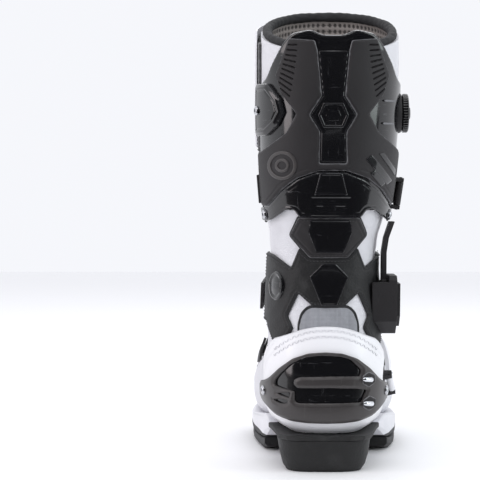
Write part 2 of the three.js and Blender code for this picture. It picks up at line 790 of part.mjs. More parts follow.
const guardHigh = guardLow + 2.8;
const guardX = 0.8; // the guard's centre line
const guardHalf = [
  [0, 98], [14, 97], [27, 92.5], [38, 84], [47, 74], [56, 67], [56, 57], [48, 50], [40, 44.5], [28, 41],
  [14, 39.8], [0, 39.5],
];
const upperSlot = [[0, 94.5], [13, 93.5], [25, 89.5], [33, 82.5], [36, 78.6], [0, 78.6]];
const lowerSlot = [[0, 69], [33, 69], [38, 63], [33, 57], [0, 57]];
const heelArea = { t0: 7.8, t1: 10, a0: -86, a1: 86, rows: 7, columns: 16 };
const heelSlots = prismAlongY(bothHalves(upperSlot, guardX), -90, 0).add(
  prismAlongY(bothHalves(lowerSlot, guardX), -90, 0),
);
add(
  "heel_guard",
  largest(
    slab({ ...heelArea, low: guardLow, high: guardHigh }).intersect(
      prismAlongY(bothHalves(guardHalf, guardX), -90, 60),
    ).subtract(heelSlots),
  ),
  materials.glossShell,
);
add(
  "heel_liner",
  backPlate(
    { ...heelArea, low: linerLow, high: linerLow + 0.9 },
    bothHalves([[0, 96], [14, 95.2], [26.5, 91], [37, 81], [41, 63], [36, 52], [0, 52]], guardX),
  ),
  materials.glossShell,
);
for (const [name, x, z] of [["heel_reflector_upper", 31, 74], ["heel_reflector_lower", 33, 53]]) {
  const spot = placeOnBack(x * widthShare, z);
  const { round } = axesAt(spot.t, spot.angle);
  const centre = raised(spot.t, spot.angle, guardHigh + 2.8);
  add(
    name,
    rod(centre.clone().addScaledVector(round, -4.5), centre.clone().addScaledVector(round, 4.5), 2.2, 12),
    materials.steel,
  );
}
for (const [name, side] of [["heel_screw_inner", -1], ["heel_screw_outer", 1]]) {
  const spot = placeOnSide(-6 * lengthShare, 64, side);
  add(name, screwHead(spot.t, spot.angle, guardHigh + 0.3), materials.steel);
}

// Sole: heel block, midsole, shank and forefoot tread
function soleRing(z, half, back, front, square = 3.4, count = 28) {
  return Array.from({ length: count }, (_, k) => {
    const turn = (k / count) * 2 * Math.PI;
    const c = Math.cos(turn);
    const s = Math.sin(turn);
    const y = (back + front) / 2 + ((front - back) / 2) * Math.sign(s) * Math.abs(s) ** (2 / square);
    const x = half * Math.sign(c) * Math.abs(c) ** (2 / square) + 1;
    return new THREE.Vector3(x * widthShare, y * lengthShare, z);
  });
}
const heelBlock = outward(loft([
  soleRing(0, 31, -34, 30), soleRing(5, 34, -38, 33), soleRing(14, 36.5, -41, 35), soleRing(
    heelBlockHeight, 38, -42.5, 38,
  ),
]));
const heelGrooves = [-16, 16].map((y) => box(-60, 60, y - 2, y + 2, -1, 2.5));
add("heel_block", largest(heelBlock.subtract(heelGrooves[0]).subtract(heelGrooves[1])), materials.rubber);

// The ground line and thickness of the sole along the foot: y, inner x, outer x, underside z, top z
const lastShare = (y) => y * lengthShare;
function soleSection(y, inner, outer, low, high) {
  const chamfer = Math.min(2.5, (high - low) / 3);
  const a = inner * widthShare;
  const b = outer * widthShare;
  return [
    [a + chamfer, low], [b - chamfer, low], [b, low + chamfer], [b, high - chamfer * 0.6],
    [b - chamfer * 0.6, high], [a + chamfer * 0.6, high], [a, high - chamfer * 0.6],
    [a, low + chamfer],
  ].map(([x, z]) => new THREE.Vector3(x, lastShare(y), z));
}
const midsoleUnder = heelBlockHeight + gap;
const midsoleSections = [
  [-42, -20, 22, midsoleUnder, 29.8],
  [-39, -30, 33, midsoleUnder, 30.2],
  [-30, -36, 39, midsoleUnder, 30.3],
  [0, -40, 43, midsoleUnder, 30.3],
  [38, -43, 49, midsoleUnder, 30.3],
  [50, -45, 54, 22, 34],
  [75, -47, 59, 15, 34],
  [100, -49, 64, 10.5, 31],
  [130, -53, 70, forefootTread + gap, 27],
  [160, -55.5, 73, forefootTread + gap, 24.5],
  [190, -56, 72.5, forefootTread + gap, 24],
  [215, -53.5, 67, forefootTread + 1, 25],
  [238, -45, 57, forefootTread + 3.6, 28.5],
  [256, -31, 41, forefootTread + 7.5, 33],
  [268, -14, 23, forefootTread + 11.5, 36],
  [272.5, -5, 13, forefootTread + 14, 37],
];
const shank = slab({ t0: 11.4, t1: 13.3, a0: -20, a1: 20, low: gap * 2, high: 2.2, rows: 4, columns: 3 });
const shankWell = slab(
  { t0: 11.37, t1: 13.33, a0: -21.5, a1: 21.5, low: -2, high: 2.5, rows: 4, columns: 3 },
);
const footSeat = filledSock(gap, flexEnd, lastStation, footRows, footColumns);
const cupSeat = slab(
  { t0: 7.6, t1: 11.9, a0: -112, a1: 112, low: 0, high: cupHigh + gap, rows: 10, columns: 18 },
).intersect(prismAlongX(cupOutline.map(([y, z]) => [y + (y > 0 ? 0.6 : 0), z - 0.3]), -90, 90));
const midsole = outward(loft(midsoleSections.map((s) => soleSection(...s))));
add("midsole", largest(midsole.subtract(footSeat).subtract(shankWell).subtract(cupSeat)), materials.rubber);
add("shank", shank, materials.steel);
const treadSections = [
  [86, -46, 60, 4, 12.5],
  [100, -48, 63, 0.8, 9.8],
  [108, -49, 65, 0, forefootTread],
  [130, -52, 69, 0, forefootTread],
  [160, -54.5, 72, 0, forefootTread],
  [190, -55, 71.5, 0, forefootTread],
  [212, -53, 67, 0.2, forefootTread + 0.2],
  [235, -46, 58, 3, forefootTread + 2.8],
  [254, -32, 42, 7, forefootTread + 6.4],
  [266, -14, 24, 11, forefootTread + 10.3],
];
let tread = outward(loft(treadSections.map((s) => soleSection(...s))));
tread = tread.subtract(
  outward(
    loft(
      midsoleSections
        .slice(5)
        .map(([y, a, b, low, high]) => soleSection(y, a - 4, b + 4, low - gap, high + 4)),
    ),
  ),
);
for (const y of [122, 142, 162, 182, 202]) tread = tread.subtract(
  box(-80, 80, lastShare(y) - 2, lastShare(y) + 2, -1, 3),
);
add("forefoot_tread", largest(tread), materials.rubber);

// Toe: hard cap and scuff guard over the leather, clear of the sole's edge
const overSole = outward(
  loft(
    [...midsoleSections.slice(8), [290, -5, 13, 20, 37]].map(
      ([y, a, b, , high]) => soleSection(y, a - 12, b + 12, -5, high + 0.5),
    ),
  ),
);
add(
  "toe_cap",
  largest(
    sleeve(
      { t0: 15.9, t1: lastStation, low: 0.4, high: 2.8, rows: 6, columns: 20, toe: true },
    ).subtract(overSole).subtract(box(-90, 90, 200, 300, -20, 20)),
  ),
  materials.whitePlastic,
);
add(
  "toe_flex_panel",
  slab({ t0: 13.6, t1: 15.7, a0: 128, a1: 232, low: 0.4, high: 2.2, rows: 5, columns: 8 }),
  materials.matteShell,
);
add(
  "instep_guard",
  slab({ t0: 8.6, t1: 13.4, a0: 122, a1: 238, low: 1, high: 3, rows: 10, columns: 9 }),
  materials.matteShell,
);

// Buckles: a base on the outer side, a lever on a pin, a strap round the front, and its anchor
const buckles = [
  { name: "shin", centre: 4.62, hinge: 88, width: 26, strapEnd: 246, body: "cuff", low: 3.5 },
  { name: "ankle", centre: 7.95, hinge: 100, width: 24, strapEnd: 250, body: "foot", low: 3.4 },
  { name: "instep", centre: 11.6, hinge: 84, width: 24, strapEnd: 258, body: "foot", low: 3.4 },
];
export const hinges = [];
for (const { name, centre, hinge, width, strapEnd, low } of buckles) {
  const angle = hinge * degrees;
  const { along, round, out } = axesAt(centre, angle);
  const at = raised(centre, angle, low + 5.4);
  const pinHalf = width / 2 + 0.6;
  const knuckleRadius = 3;
  const leverLow = low + strapWall + 0.9;
  const side = (p, reach) => p.clone().addScaledVector(along, reach);
  const knuckle = rod(side(at, -width / 2 + 3.4), side(at, width / 2 - 3.4), knuckleRadius, 12);
  const bore = rod(side(at, -width), side(at, width), 1.5, 10);
  const clearKnuckle = rod(side(at, -width / 2 + 3.1), side(at, width / 2 - 3.1), knuckleRadius + 0.4, 12);
  const reachAngle = 46 / skin(centre, angle + 0.5).distanceTo(skin(centre, angle)) * 0.5 / degrees;
  const plate = band(
    {
      centre, width: width - 6.8, a0: hinge + 0.5, a1: hinge + reachAngle, low: leverLow,
      high: leverLow + 3.4, columns: 6,
    },
  );
  add(`${name}_lever`, largest(plate.add(knuckle).subtract(bore)), materials.matteShell);
  const pin = rod(side(at, -pinHalf), side(at, pinHalf), 1.3, 10);
  const ears = [-1, 1].map((sign) => {
    const foot = at.clone().addScaledVector(along, sign * (width / 2 - 1.5)).addScaledVector(out, -12);
    const outline = [[-5.4, 0], [5.4, 0], [3.2, 14.6], [-3.2, 14.6]];
    const corner = (reach, [r, h]) =>
      foot.clone().addScaledVector(along, reach).addScaledVector(round, r).addScaledVector(out, h);
    const rings = [-1.5, 1.5].map((reach) => outline.map((point) => corner(reach, point)));
    return outward(loft(rings));
  });
  const basePlate = band(
    {
      centre,
      width,
      a0: hinge - 7,
      a1: hinge + reachAngle * 0.55,
      low: 0.4,
      high: low - gap - 0.3,
      columns: 5,
    },
  );
  const ground = filledSock(0.4, centre - 1.6, centre + 1.6, 8, 32);
  let base = basePlate.add(ears[0]).add(ears[1]).subtract(clearKnuckle).subtract(ground).add(pin);
  if (name !== "shin") base = base.subtract(
    frameSeat.intersect(slab({ ...frameArea, high: frameHigh + gap, low: 0, a1: 98.6 })),
  );
  add(`${name}_base`, largest(base), materials.matteShell);
  add(
    `${name}_strap`,
    band(
      { centre, width: width - 8, a0: hinge + 9, a1: strapEnd, low, high: low + strapWall, columns: 16 },
    ),
    materials.webbing,
  );
  add(
    `${name}_anchor`,
    band(
      {
        centre,
        width: width - 2,
        a0: strapEnd - 14,
        a1: strapEnd + 6,
        low: low + strapWall + gap,
        high: low + strapWall + gap + 2.2,
        columns: 4,
      },
    ),
    materials.matteShell,
  );
  hinges.push({ name, at, axis: round.clone().cross(out) });
}

export default root;
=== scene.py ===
# Looks of an off-road riding boot, right foot. Metres, +Z up, +Y towards the toe, +X to the outer side.
import math

import bmesh
import bpy
import numpy as np
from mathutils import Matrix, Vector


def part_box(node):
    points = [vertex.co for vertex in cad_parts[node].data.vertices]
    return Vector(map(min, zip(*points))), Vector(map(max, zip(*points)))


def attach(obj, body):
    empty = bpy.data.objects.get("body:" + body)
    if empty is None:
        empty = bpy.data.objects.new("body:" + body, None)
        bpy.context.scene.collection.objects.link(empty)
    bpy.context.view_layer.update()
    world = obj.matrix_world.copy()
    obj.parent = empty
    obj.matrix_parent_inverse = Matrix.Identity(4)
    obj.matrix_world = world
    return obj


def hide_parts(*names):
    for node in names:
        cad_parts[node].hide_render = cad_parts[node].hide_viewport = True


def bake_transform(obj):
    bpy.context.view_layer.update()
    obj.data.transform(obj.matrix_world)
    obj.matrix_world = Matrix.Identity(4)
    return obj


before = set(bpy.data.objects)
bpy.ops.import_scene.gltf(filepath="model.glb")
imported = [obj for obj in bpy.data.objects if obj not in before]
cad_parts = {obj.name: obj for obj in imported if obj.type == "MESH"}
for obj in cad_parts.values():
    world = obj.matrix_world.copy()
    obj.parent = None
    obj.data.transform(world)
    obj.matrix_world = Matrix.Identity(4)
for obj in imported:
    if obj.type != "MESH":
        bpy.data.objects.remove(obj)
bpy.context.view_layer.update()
mm = 0.001
scene = bpy.context.scene

# Camera, light and floor
studio = {
    "eye": (-0.0674, -1.600, 0.245), "pitch": -2.11, "lens": 146.4,
    "keyPower": 9.0, "sidePower": 6.5, "warm": (1.0, 0.90, 0.91), "cool": (0.90, 1.0, 0.99),
    "worldStrength": 0.97, "floorColor": (0.93, 0.93, 0.94), "floorSize": 6.0, "cardWidth": 7.0,
}


def areaLight(name, place, aim, size, power, color):
    lamp = bpy.data.lights.new(name, "AREA")
    lamp.shape = "RECTANGLE"
    lamp.size, lamp.size_y = size
    lamp.energy = power
    lamp.color = color
    holder = bpy.data.objects.new(name, lamp)
    scene.collection.objects.link(holder)
    holder.location = place
    direction = np.array(aim, float) - np.array(place, float)
    flat = math.hypot(direction[0], direction[1])
    holder.rotation_euler = (math.atan2(flat, -direction[2]), 0, math.atan2(-direction[0], direction[1]))


def setStage():
    eye = bpy.data.cameras.new("photoView")
    eye.lens = studio["lens"]
    eye.sensor_width = 36
    holder = bpy.data.objects.new("photoView", eye)
    scene.collection.objects.link(holder)
    holder.location = studio["eye"]
    holder.rotation_euler = (math.radians(90 + studio["pitch"]), 0, 0)
    scene.camera = holder
    areaLight("keyAbove", (-0.2, -1.3, 1.9), (0, 0, 0.2), (1.6, 1.0), studio["keyPower"], (1, 1, 1))
    areaLight("leftSide", (-1.5, -0.5, 0.6), (0, 0, 0.2), (0.5, 1.5), studio["sidePower"], studio["warm"])
    areaLight("rightSide", (1.5, -0.5, 0.6), (0, 0, 0.2), (0.5, 1.5), studio["sidePower"], studio["cool"])
    areaLight("behindTop", (0.1, 1.4, 1.4), (0, 0, 0.25), (1.4, 0.8), studio["keyPower"] * 0.6, (1, 1, 1))
    world = bpy.data.worlds.new("paleRoom")
    world.use_nodes = True
    world.node_tree.nodes["Background"].inputs["Color"].default_value = (0.95, 0.96, 1.0, 1)
    world.node_tree.nodes["Background"].inputs["Strength"].default_value = studio["worldStrength"]
    scene.world = world
    scene.view_settings.view_transform = "Standard"
    half, wide = studio["floorSize"] / 2, studio["cardWidth"] / 2
    stageSheet("floor", [(-half, -half, 0), (half, -half, 0), (half, half, 0), (-half, half, 0)],
               studio["floorColor"])
    corners = [(-wide, -1.9, 0.02), (wide, -1.9, 0.02), (wide, -1.9, 3.4), (-wide, -1.9, 3.4)]
    ground = [(-wide, -1.9, 0.004), (wide, -1.9, 0.004), (wide, -0.16, 0.004), (-wide, -0.16, 0.004)]
    for name, shape in (("darkCard", corners), ("darkGround", ground)):
        card = stageSheet(name, shape, (0.01, 0.01, 0.01))
        card.visible_camera = card.visible_shadow = card.visible_diffuse = False  # only reflections see these


def stageSheet(name, corners, color):
    mesh = bpy.data.meshes.new(name)
    mesh.from_pydata(corners, [], [(0, 1, 2, 3)])
    sheet = bpy.data.objects.new(name, mesh)
    scene.collection.objects.link(sheet)
    paint = bpy.data.materials.new(name + "Paint")
    paint.use_nodes = True
    paint.node_tree.nodes["Principled BSDF"].inputs["Base Color"].default_value = (*color, 1)
    paint.node_tree.nodes["Principled BSDF"].inputs["Roughness"].default_value = 0.7
    mesh.materials.append(paint)
    return sheet


setStage()
print("stage set")


# The boot's outer leather as a surface: sections stand across the leg and fan round the ankle to the toe.
# A row holds, in mm, the front (or top) point's y and z, the back (or bottom) point's y and z,
# the inner and outer x, and how square the section is behind and in front.
boot = {
    "sections": [
        (78, 404, -50, 368, -50, 63, 2.3, 2.2), (79, 372, -50, 338, -50, 63, 2.3, 2.2),
        (80, 340, -51, 312, -50, 63, 2.3, 2.2), (82, 300, -50, 279, -50, 61, 2.3, 2.2),
        (84, 255, -46, 243, -49, 58, 2.3, 2.2), (86, 217, -38, 208, -46, 53, 2.3, 2.2),
        (88, 187, -31, 180, -42, 46, 2.3, 2.2), (93, 164, -30, 150, -42.5, 45.5, 2.3, 2.2),
        (100, 148, -34, 112, -43.5, 46.5, 2.4, 2.2), (108, 137, -38, 72, -44, 48, 2.6, 2.2),
        (116, 127, -31, 38, -43, 47, 2.8, 2.2), (124, 119, 10, 31, -43, 50, 3.2, 2.2),
        (134, 110, 60, 28, -45, 56, 3.6, 2.2), (150, 100, 105, 24, -49, 63, 3.8, 2.3),
        (171, 90, 145, 19, -53, 70, 3.8, 2.4), (196, 81, 185, 17, -54, 70, 3.6, 2.4),
        (221, 73, 218, 18, -50, 63, 3.2, 2.4), (244, 62, 245, 21, -40, 51, 2.8, 2.4),
        (260, 52, 262, 26, -25, 34, 2.4, 2.2), (268, 43, 269, 33, -8, 16, 2, 2),
    ],
    "collar": 1.0,
}
sectionTable = np.array(boot["sections"], float)
lastSection = len(sectionTable) - 1


def section(t):
    # Catmull-Rom through the four rows nearest to t
    t = np.asarray(t, float)
    i = np.clip(np.floor(t).astype(int), 0, lastSection - 1)
    s = (t - i)[..., None]
    a, b, c, d = (sectionTable[np.clip(i + k, 0, lastSection)] for k in (-1, 0, 1, 2))
    return 0.5 * (2 * b + (c - a) * s + (2 * a - 5 * b + 4 * c - d) * s**2 + (3 * b - a - 3 * c + d) * s**3)


def skin(t, angle):
    # A superellipse across the section: the angle is 0 behind the leg or under the foot, +90 degrees outside
    t, angle = np.broadcast_arrays(np.asarray(t, float), np.asarray(angle, float))
    s = section(t)
    across, along = np.sin(angle), np.cos(angle)
    square = np.where(along > 0, s[..., 6], s[..., 7])
    sideways = np.sign(across) * np.abs(across) ** (2 / square)
    share = (1 + np.sign(along) * np.abs(along) ** (2 / square)) / 2
    x = (s[..., 4] + s[..., 5]) / 2 + (s[..., 5] - s[..., 4]) / 2 * sideways
    y = s[..., 0] * (1 - share) + s[..., 2] * share
    z = s[..., 1] * (1 - share) + s[..., 3] * share
    return np.stack([x, y, z], -1) * mm


def unit(v):
    return v / np.maximum(np.linalg.norm(v, axis=-1, keepdims=True), 1e-12)


def skinNormal(t, angle):
    step = 0.03
    down = skin(np.minimum(t + step, lastSection), angle) - skin(np.maximum(t - step, 0), angle)
    return unit(np.cross(down, skin(t, angle + step) - skin(t, angle - step)))


def raised(t, angle, height):
    # The leather's point plus its normal times a height in metres
    t, angle = np.broadcast_arrays(np.asarray(t, float), np.asarray(angle, float))
    return skin(t, angle) + skinNormal(t, angle) * np.asarray(height)[..., None]


def backSpot(x, z, reach=100, height=0.0):
    # The section and angle where a surface so high (mm) on the back of the leg shows x and z (mm), by
    # Newton steps. Past the leg's edge, x up to 80 runs on round the side to the reach in degrees.
    x, z = np.asarray(x, float) * mm, np.asarray(z, float) * mm
    edge = math.radians(74)
    t, angle = np.full(x.shape, 4.0), np.zeros(x.shape)
    lifted = lambda a, b: raised(a, b, np.full(a.shape, height * mm))
    for step in range(60):
        p = lifted(t, angle)
        rise = (lifted(t + 0.05, angle)[..., 2] - p[..., 2]) / 0.05
        t = np.clip(t + np.clip((z - p[..., 2]) / rise, -0.5, 0.5), 0, 10.6)
        if step < 35:
            run = (lifted(t, angle + 0.02)[..., 0] - p[..., 0]) / 0.02
            angle = np.clip(angle + np.clip((x - p[..., 0]) / np.maximum(run, 0.008), -0.2, 0.2), -edge, edge)
        if step == 35:
            side = np.sign(x - 0.004)
            rim = lifted(t, side * edge)[..., 0]
            over = np.clip((x - rim) * side / (0.080 - np.abs(rim)), 0, 1)
            angle = np.where(over > 0, side * (edge + (math.radians(reach) - edge) * over), angle)
    return t, angle


class Patch:
    # A flat map of part of the boot: u runs round it from the middle angle, v runs down it, both in metres
    def __init__(self, middle, t0, t1, reach=100):
        self.middle = math.radians(middle)
        self.ts = np.linspace(t0, t1, 140)
        line = skin(self.ts, self.middle)
        self.vs = np.concatenate([[0], np.cumsum(np.linalg.norm(np.diff(line, axis=0), axis=1))])
        turns = np.radians(np.linspace(-reach, reach, 241))
        ring = skin(self.ts[:, None], self.middle + turns)
        steps = np.linalg.norm(np.diff(ring, axis=1), axis=2)
        arc = np.concatenate([np.zeros((len(self.ts), 1)), np.cumsum(steps, axis=1)], axis=1)
        self.arc = arc - arc[:, [120]]
        self.turns = turns
        self.uMax = np.abs(self.arc).max()
        self.us = np.linspace(-self.uMax, self.uMax, 500)
        self.turnAt = np.array([np.interp(self.us, row, turns) for row in self.arc])

    def lookUp(self, table, row, column):
        i = np.clip(np.floor(row).astype(int), 0, table.shape[0] - 2)
        j = np.clip(np.floor(column).astype(int), 0, table.shape[1] - 2)
        f, g = np.clip(row - i, 0, 1), np.clip(column - j, 0, 1)
        top = table[i, j] * (1 - g) + table[i, j + 1] * g
        return top * (1 - f) + (table[i + 1, j] * (1 - g) + table[i + 1, j + 1] * g) * f

    def spot(self, u, v):
        # From the flat map to the section and the angle
        t = np.interp(v, self.vs, self.ts)
        row = (t - self.ts[0]) / (self.ts[-1] - self.ts[0]) * (len(self.ts) - 1)
        turn = self.lookUp(self.turnAt, row, (u + self.uMax) / (2 * self.uMax) * (len(self.us) - 1))
        return t, self.middle + turn

    def flat(self, t, angle):
        # From the section and the angle to the flat map
        turn = np.asarray(angle) - self.middle
        row = (t - self.ts[0]) / (self.ts[-1] - self.ts[0]) * (len(self.ts) - 1)
        column = (turn - self.turns[0]) / (self.turns[-1] - self.turns[0]) * (len(self.turns) - 1)
        return np.stack([self.lookUp(self.arc, row, column), np.interp(t, self.ts, self.vs)], -1)

    def fromBehind(self, points, reach=100, height=0.0, closed=True, step=2.0):
        # An outline or line seen from behind, in mm, cut into short steps and laid on the flat map
        return self.flat(*backSpot(*fine(points, step, closed).T, reach, height))

    def fromSpots(self, spots, radius=5.0):
        # The same for corners given as section and angle, taking 14 mm to a section and 1 mm to a degree
        spots = fine(rounded(np.array(spots, float) * (14, 1), radius), 2.0) / (14, 1)
        return self.flat(spots[:, 0], np.radians(spots[:, 1]))


# Outlines

def fine(points, step, closed=True):
    # Adds points along each edge so that none is longer than the step
    points = np.array(points, float)
    after = np.roll(points, -1, axis=0)
    counts = np.maximum(np.ceil(np.linalg.norm(after - points, axis=1) / step), 1).astype(int)
    runs = [a + (b - a) * np.linspace(0, 1, n, endpoint=False)[:, None] for a, b,
            n in zip(points, after, counts)]
    return np.concatenate(runs if closed else [*runs[:-1], points[-1:]])


def rounded(points, radius, steps=4):
    # Each corner becomes a quadratic arc that starts one radius away, or half an edge if that is less
    points = np.array(points, float)
    before, after = np.roll(points, 1, axis=0) - points, np.roll(points, -1, axis=0) - points
    lengthBefore, lengthAfter = np.linalg.norm(before, axis=1), np.linalg.norm(after, axis=1)
    a = points + before * (np.minimum(radius, lengthBefore * 0.49) / lengthBefore)[:, None]
    b = points + after * (np.minimum(radius, lengthAfter * 0.49) / lengthAfter)[:, None]
    s = np.linspace(0, 1, steps + 1)[None, :, None]
    arcs = a[:, None] * (1 - s) ** 2 + 2 * points[:, None] * s * (1 - s) + b[:, None] * s**2
    return arcs.reshape(-1, 2)


def bothHalves(half, centre):
    # The half outline runs from the centre line round to the centre line
    half = np.array(half, float)
    other = half[half[:, 0] > 0][::-1] * (-1, 1)
    return np.concatenate([half, other]) + (centre, 0)


def nearest(points, outline, closed=True):
    # Distance to a closed outline, positive inside, and the nearest point on it
    best = np.full(len(points), np.inf)
    spot = np.zeros_like(points)
    crossings = np.zeros(len(points), bool)
    ends = np.roll(outline, -1, axis=0) if closed else outline[1:]
    for a, b in zip(outline, ends):
        edge = b - a
        share = np.clip((points - a) @ edge / max(edge @ edge, 1e-18), 0, 1)
        foot = a + share[:, None] * edge
        away = ((points - foot) ** 2).sum(1)
        closer = away < best
        best[closer] = away[closer]
        spot[closer] = foot[closer]
        if closed and a[1] != b[1]:
            between = (a[1] > points[:, 1]) != (b[1] > points[:, 1])
            crossings ^= between & (points[:, 0] < a[0] + (points[:, 1] - a[1]) * edge[0] / edge[1])
    distance = np.sqrt(best)
    return (np.where(crossings, distance, -distance) if closed else distance), spot


def smooth(a, b, x):
    s = np.clip((x - a) / (b - a), 0, 1)
    return s * s * (3 - 2 * s)


def groove(distance, half, depth):
    # A soft-edged channel: full depth on the line, nothing beyond half its width
    return -depth * (1 - smooth(half * 0.35, half, np.abs(distance)))


# Meshes

def newMesh(name, points, *faceSets):
    mesh = bpy.data.meshes.new(name)
    loops = np.concatenate([f.ravel() for f in faceSets]).astype(np.int32)
    sizes = np.concatenate([np.full(len(f), f.shape[1]) for f in faceSets])
    starts = np.concatenate([[0], np.cumsum(sizes)[:-1]]).astype(np.int32)
    mesh.vertices.add(len(points))
    mesh.vertices.foreach_set("co", np.asarray(points, np.float32).ravel())
    mesh.loops.add(len(loops))
    mesh.loops.foreach_set("vertex_index", loops)
    mesh.polygons.add(len(sizes))
    mesh.polygons.foreach_set("loop_start", starts)
    mesh.update(calc_edges=True)
    mesh.validate()
    return mesh


def addValue(mesh, name, values):
    layer = mesh.attributes.new(name, "FLOAT", "POINT")
    layer.data.foreach_set("value", np.asarray(values, np.float32))


def pointsOf(mesh):
    spots = np.empty(len(mesh.vertices) * 3, np.float32)
    mesh.vertices.foreach_get("co", spots)
    return spots.reshape(-1, 3)


def weldedMesh(mesh):
    # Merges doubles and turns every face outwards
    work = bmesh.new()
    work.from_mesh(mesh)
    bmesh.ops.remove_doubles(work, verts=work.verts, dist=2e-6)
    bmesh.ops.recalc_face_normals(work, faces=work.faces)
    work.to_mesh(mesh)
    work.free()
    return mesh


def faceOutwards(mesh):
    # A closed mesh whose signed volume is negative is inside out, so its faces are turned round
    mesh.calc_loop_triangles()
    points, corners = pointsOf(mesh), np.empty(len(mesh.loop_triangles) * 3, np.int32)
    mesh.loop_triangles.foreach_get("vertices", corners)
    a, b, c = (points.astype(float) - points.mean(0))[corners.reshape(-1, 3).T]
    if np.einsum("ij,ij->", a, np.cross(b, c)) < 0:
        mesh.flip_normals()


def piece(name, mesh, finish, body, replaced=(), crease=32):
    # Puts a mesh in the scene with its finish, its record slot, its body and the CAD nodes it stands for
    thing = bpy.data.objects.new(name, mesh)
    scene.collection.objects.link(thing)
    faceOutwards(mesh)
    mesh.materials.clear()
    mesh.materials.append(finish)
    mesh.shade_smooth()
    mesh.set_sharp_from_angle(angle=math.radians(crease))
    if body:
        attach(thing, body)
    if replaced:
        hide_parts(*replaced)
    return thing


def plateMesh(name, patch, outline, low, wall, edge=0.9, relief=None, holes=(), pitch=0.8):
    # A closed plate on the boot: a grid over the flat map, cut to the outline and holes by snapping its rim
    # to them, lifted to low + wall, rounded at the rim by the edge radius, and shaped by the relief's
    # height. Lengths are in mm. The edge attribute fades from 1 at the rim to 0 inside.
    step = pitch * mm
    lines = [outline, *holes]
    start, end = outline.min(0) - step, outline.max(0) + step
    us, vs = np.arange(start[0], end[0] + step, step), np.arange(start[1], end[1] + step, step)
    nu, nv = len(us), len(vs)
    flat = np.stack(np.meshgrid(us, vs, indexing="ij"), -1).reshape(-1, 2)
    distance, foot = nearest(flat, outline)
    for hole in holes:
        away, spot = nearest(flat, hole)
        closer = -away < distance
        distance[closer] = -away[closer]
        foot[closer] = spot[closer]
    field = distance.reshape(nu, nv)
    kept = (field[:-1, :-1] + field[1:, :-1] + field[:-1, 1:] + field[1:, 1:]) > 0
    index = np.arange(nu * nv).reshape(nu, nv)
    i, j = np.nonzero(kept)
    quads = np.stack([index[i, j], index[i, j + 1], index[i + 1, j + 1], index[i + 1, j]], 1)
    framed = np.pad(kept, 1)
    along, across = framed[:, 1:-1], framed[1:-1, :]
    rims = []
    for flip, mask in ((0, along[1:] & ~along[:-1]), (1, along[:-1] & ~along[1:])):
        i, j = np.nonzero(mask)
        pair = [index[i, j], index[i, j + 1]]
        rims.append(np.stack(pair[::-1] if flip else pair, 1))
    for flip, mask in ((1, across[:, 1:] & ~across[:, :-1]), (0, across[:, :-1] & ~across[:, 1:])):
        i, j = np.nonzero(mask)
        pair = [index[i, j], index[i + 1, j]]
        rims.append(np.stack(pair[::-1] if flip else pair, 1))
    rim = np.concatenate(rims)
    onRim = np.unique(rim)
    flat[onRim] = foot[onRim]
    distance[onRim] = 0
    used = np.unique(quads)
    order = np.full(nu * nv, -1)
    order[used] = np.arange(len(used))
    flat, inset = flat[used], np.maximum(distance[used], 0) / mm
    quads, rim = order[quads], order[rim]
    r = max(edge, 1e-3)
    drop = np.where(inset < r, r - np.sqrt(np.maximum(r**2 - (r - np.minimum(inset, r)) ** 2, 0)), 0)
    t, angle = patch.spot(flat[:, 0], flat[:, 1])
    height = low + wall - drop
    if relief is not None:
        height = height + relief(flat / mm, inset, raised(t, angle, np.zeros(len(t))) / mm)
    height = np.maximum(height, low + 0.15)
    n = len(used)
    points = np.concatenate([raised(t, angle, height * mm), raised(t, angle, np.full(n, low * mm))])
    skirt = np.stack([rim[:, 0], rim[:, 0] + n, rim[:, 1] + n, rim[:, 1]], 1)
    mesh = newMesh(name, points, quads, quads[:, ::-1] + n, skirt)
    near = np.exp(-inset / 0.7)
    addValue(mesh, "edge", np.concatenate([near, near]))
    return mesh


# Shader maths: a wrapped socket turns Python's operators into nodes

class Socket:
    def __init__(self, finish, link):
        self.finish, self.link = finish, link

    def combine(self, other, operation, swap=False):
        pair = (other, self) if swap else (self, other)
        colours = [getattr(getattr(p, "link", None), "type", "VALUE") in ("RGBA", "VECTOR") for p in pair]
        if any(colours):
            return self.finish.node("ShaderNodeVectorMath", {"operation": operation}, *pair)
        return self.finish.node("ShaderNodeMath", {"operation": operation}, *pair)

    def __add__(self, other):
        return self.combine(other, "ADD")

    def __radd__(self, other):
        return self.combine(other, "ADD", True)

    def __sub__(self, other):
        return self.combine(other, "SUBTRACT")

    def __rsub__(self, other):
        return self.combine(other, "SUBTRACT", True)

    def __mul__(self, other):
        return self.combine(other, "MULTIPLY")

    def __rmul__(self, other):
        return self.combine(other, "MULTIPLY", True)

    def __truediv__(self, other):
        return self.combine(other, "DIVIDE")

    def __pow__(self, other):
        return self.combine(other, "POWER")


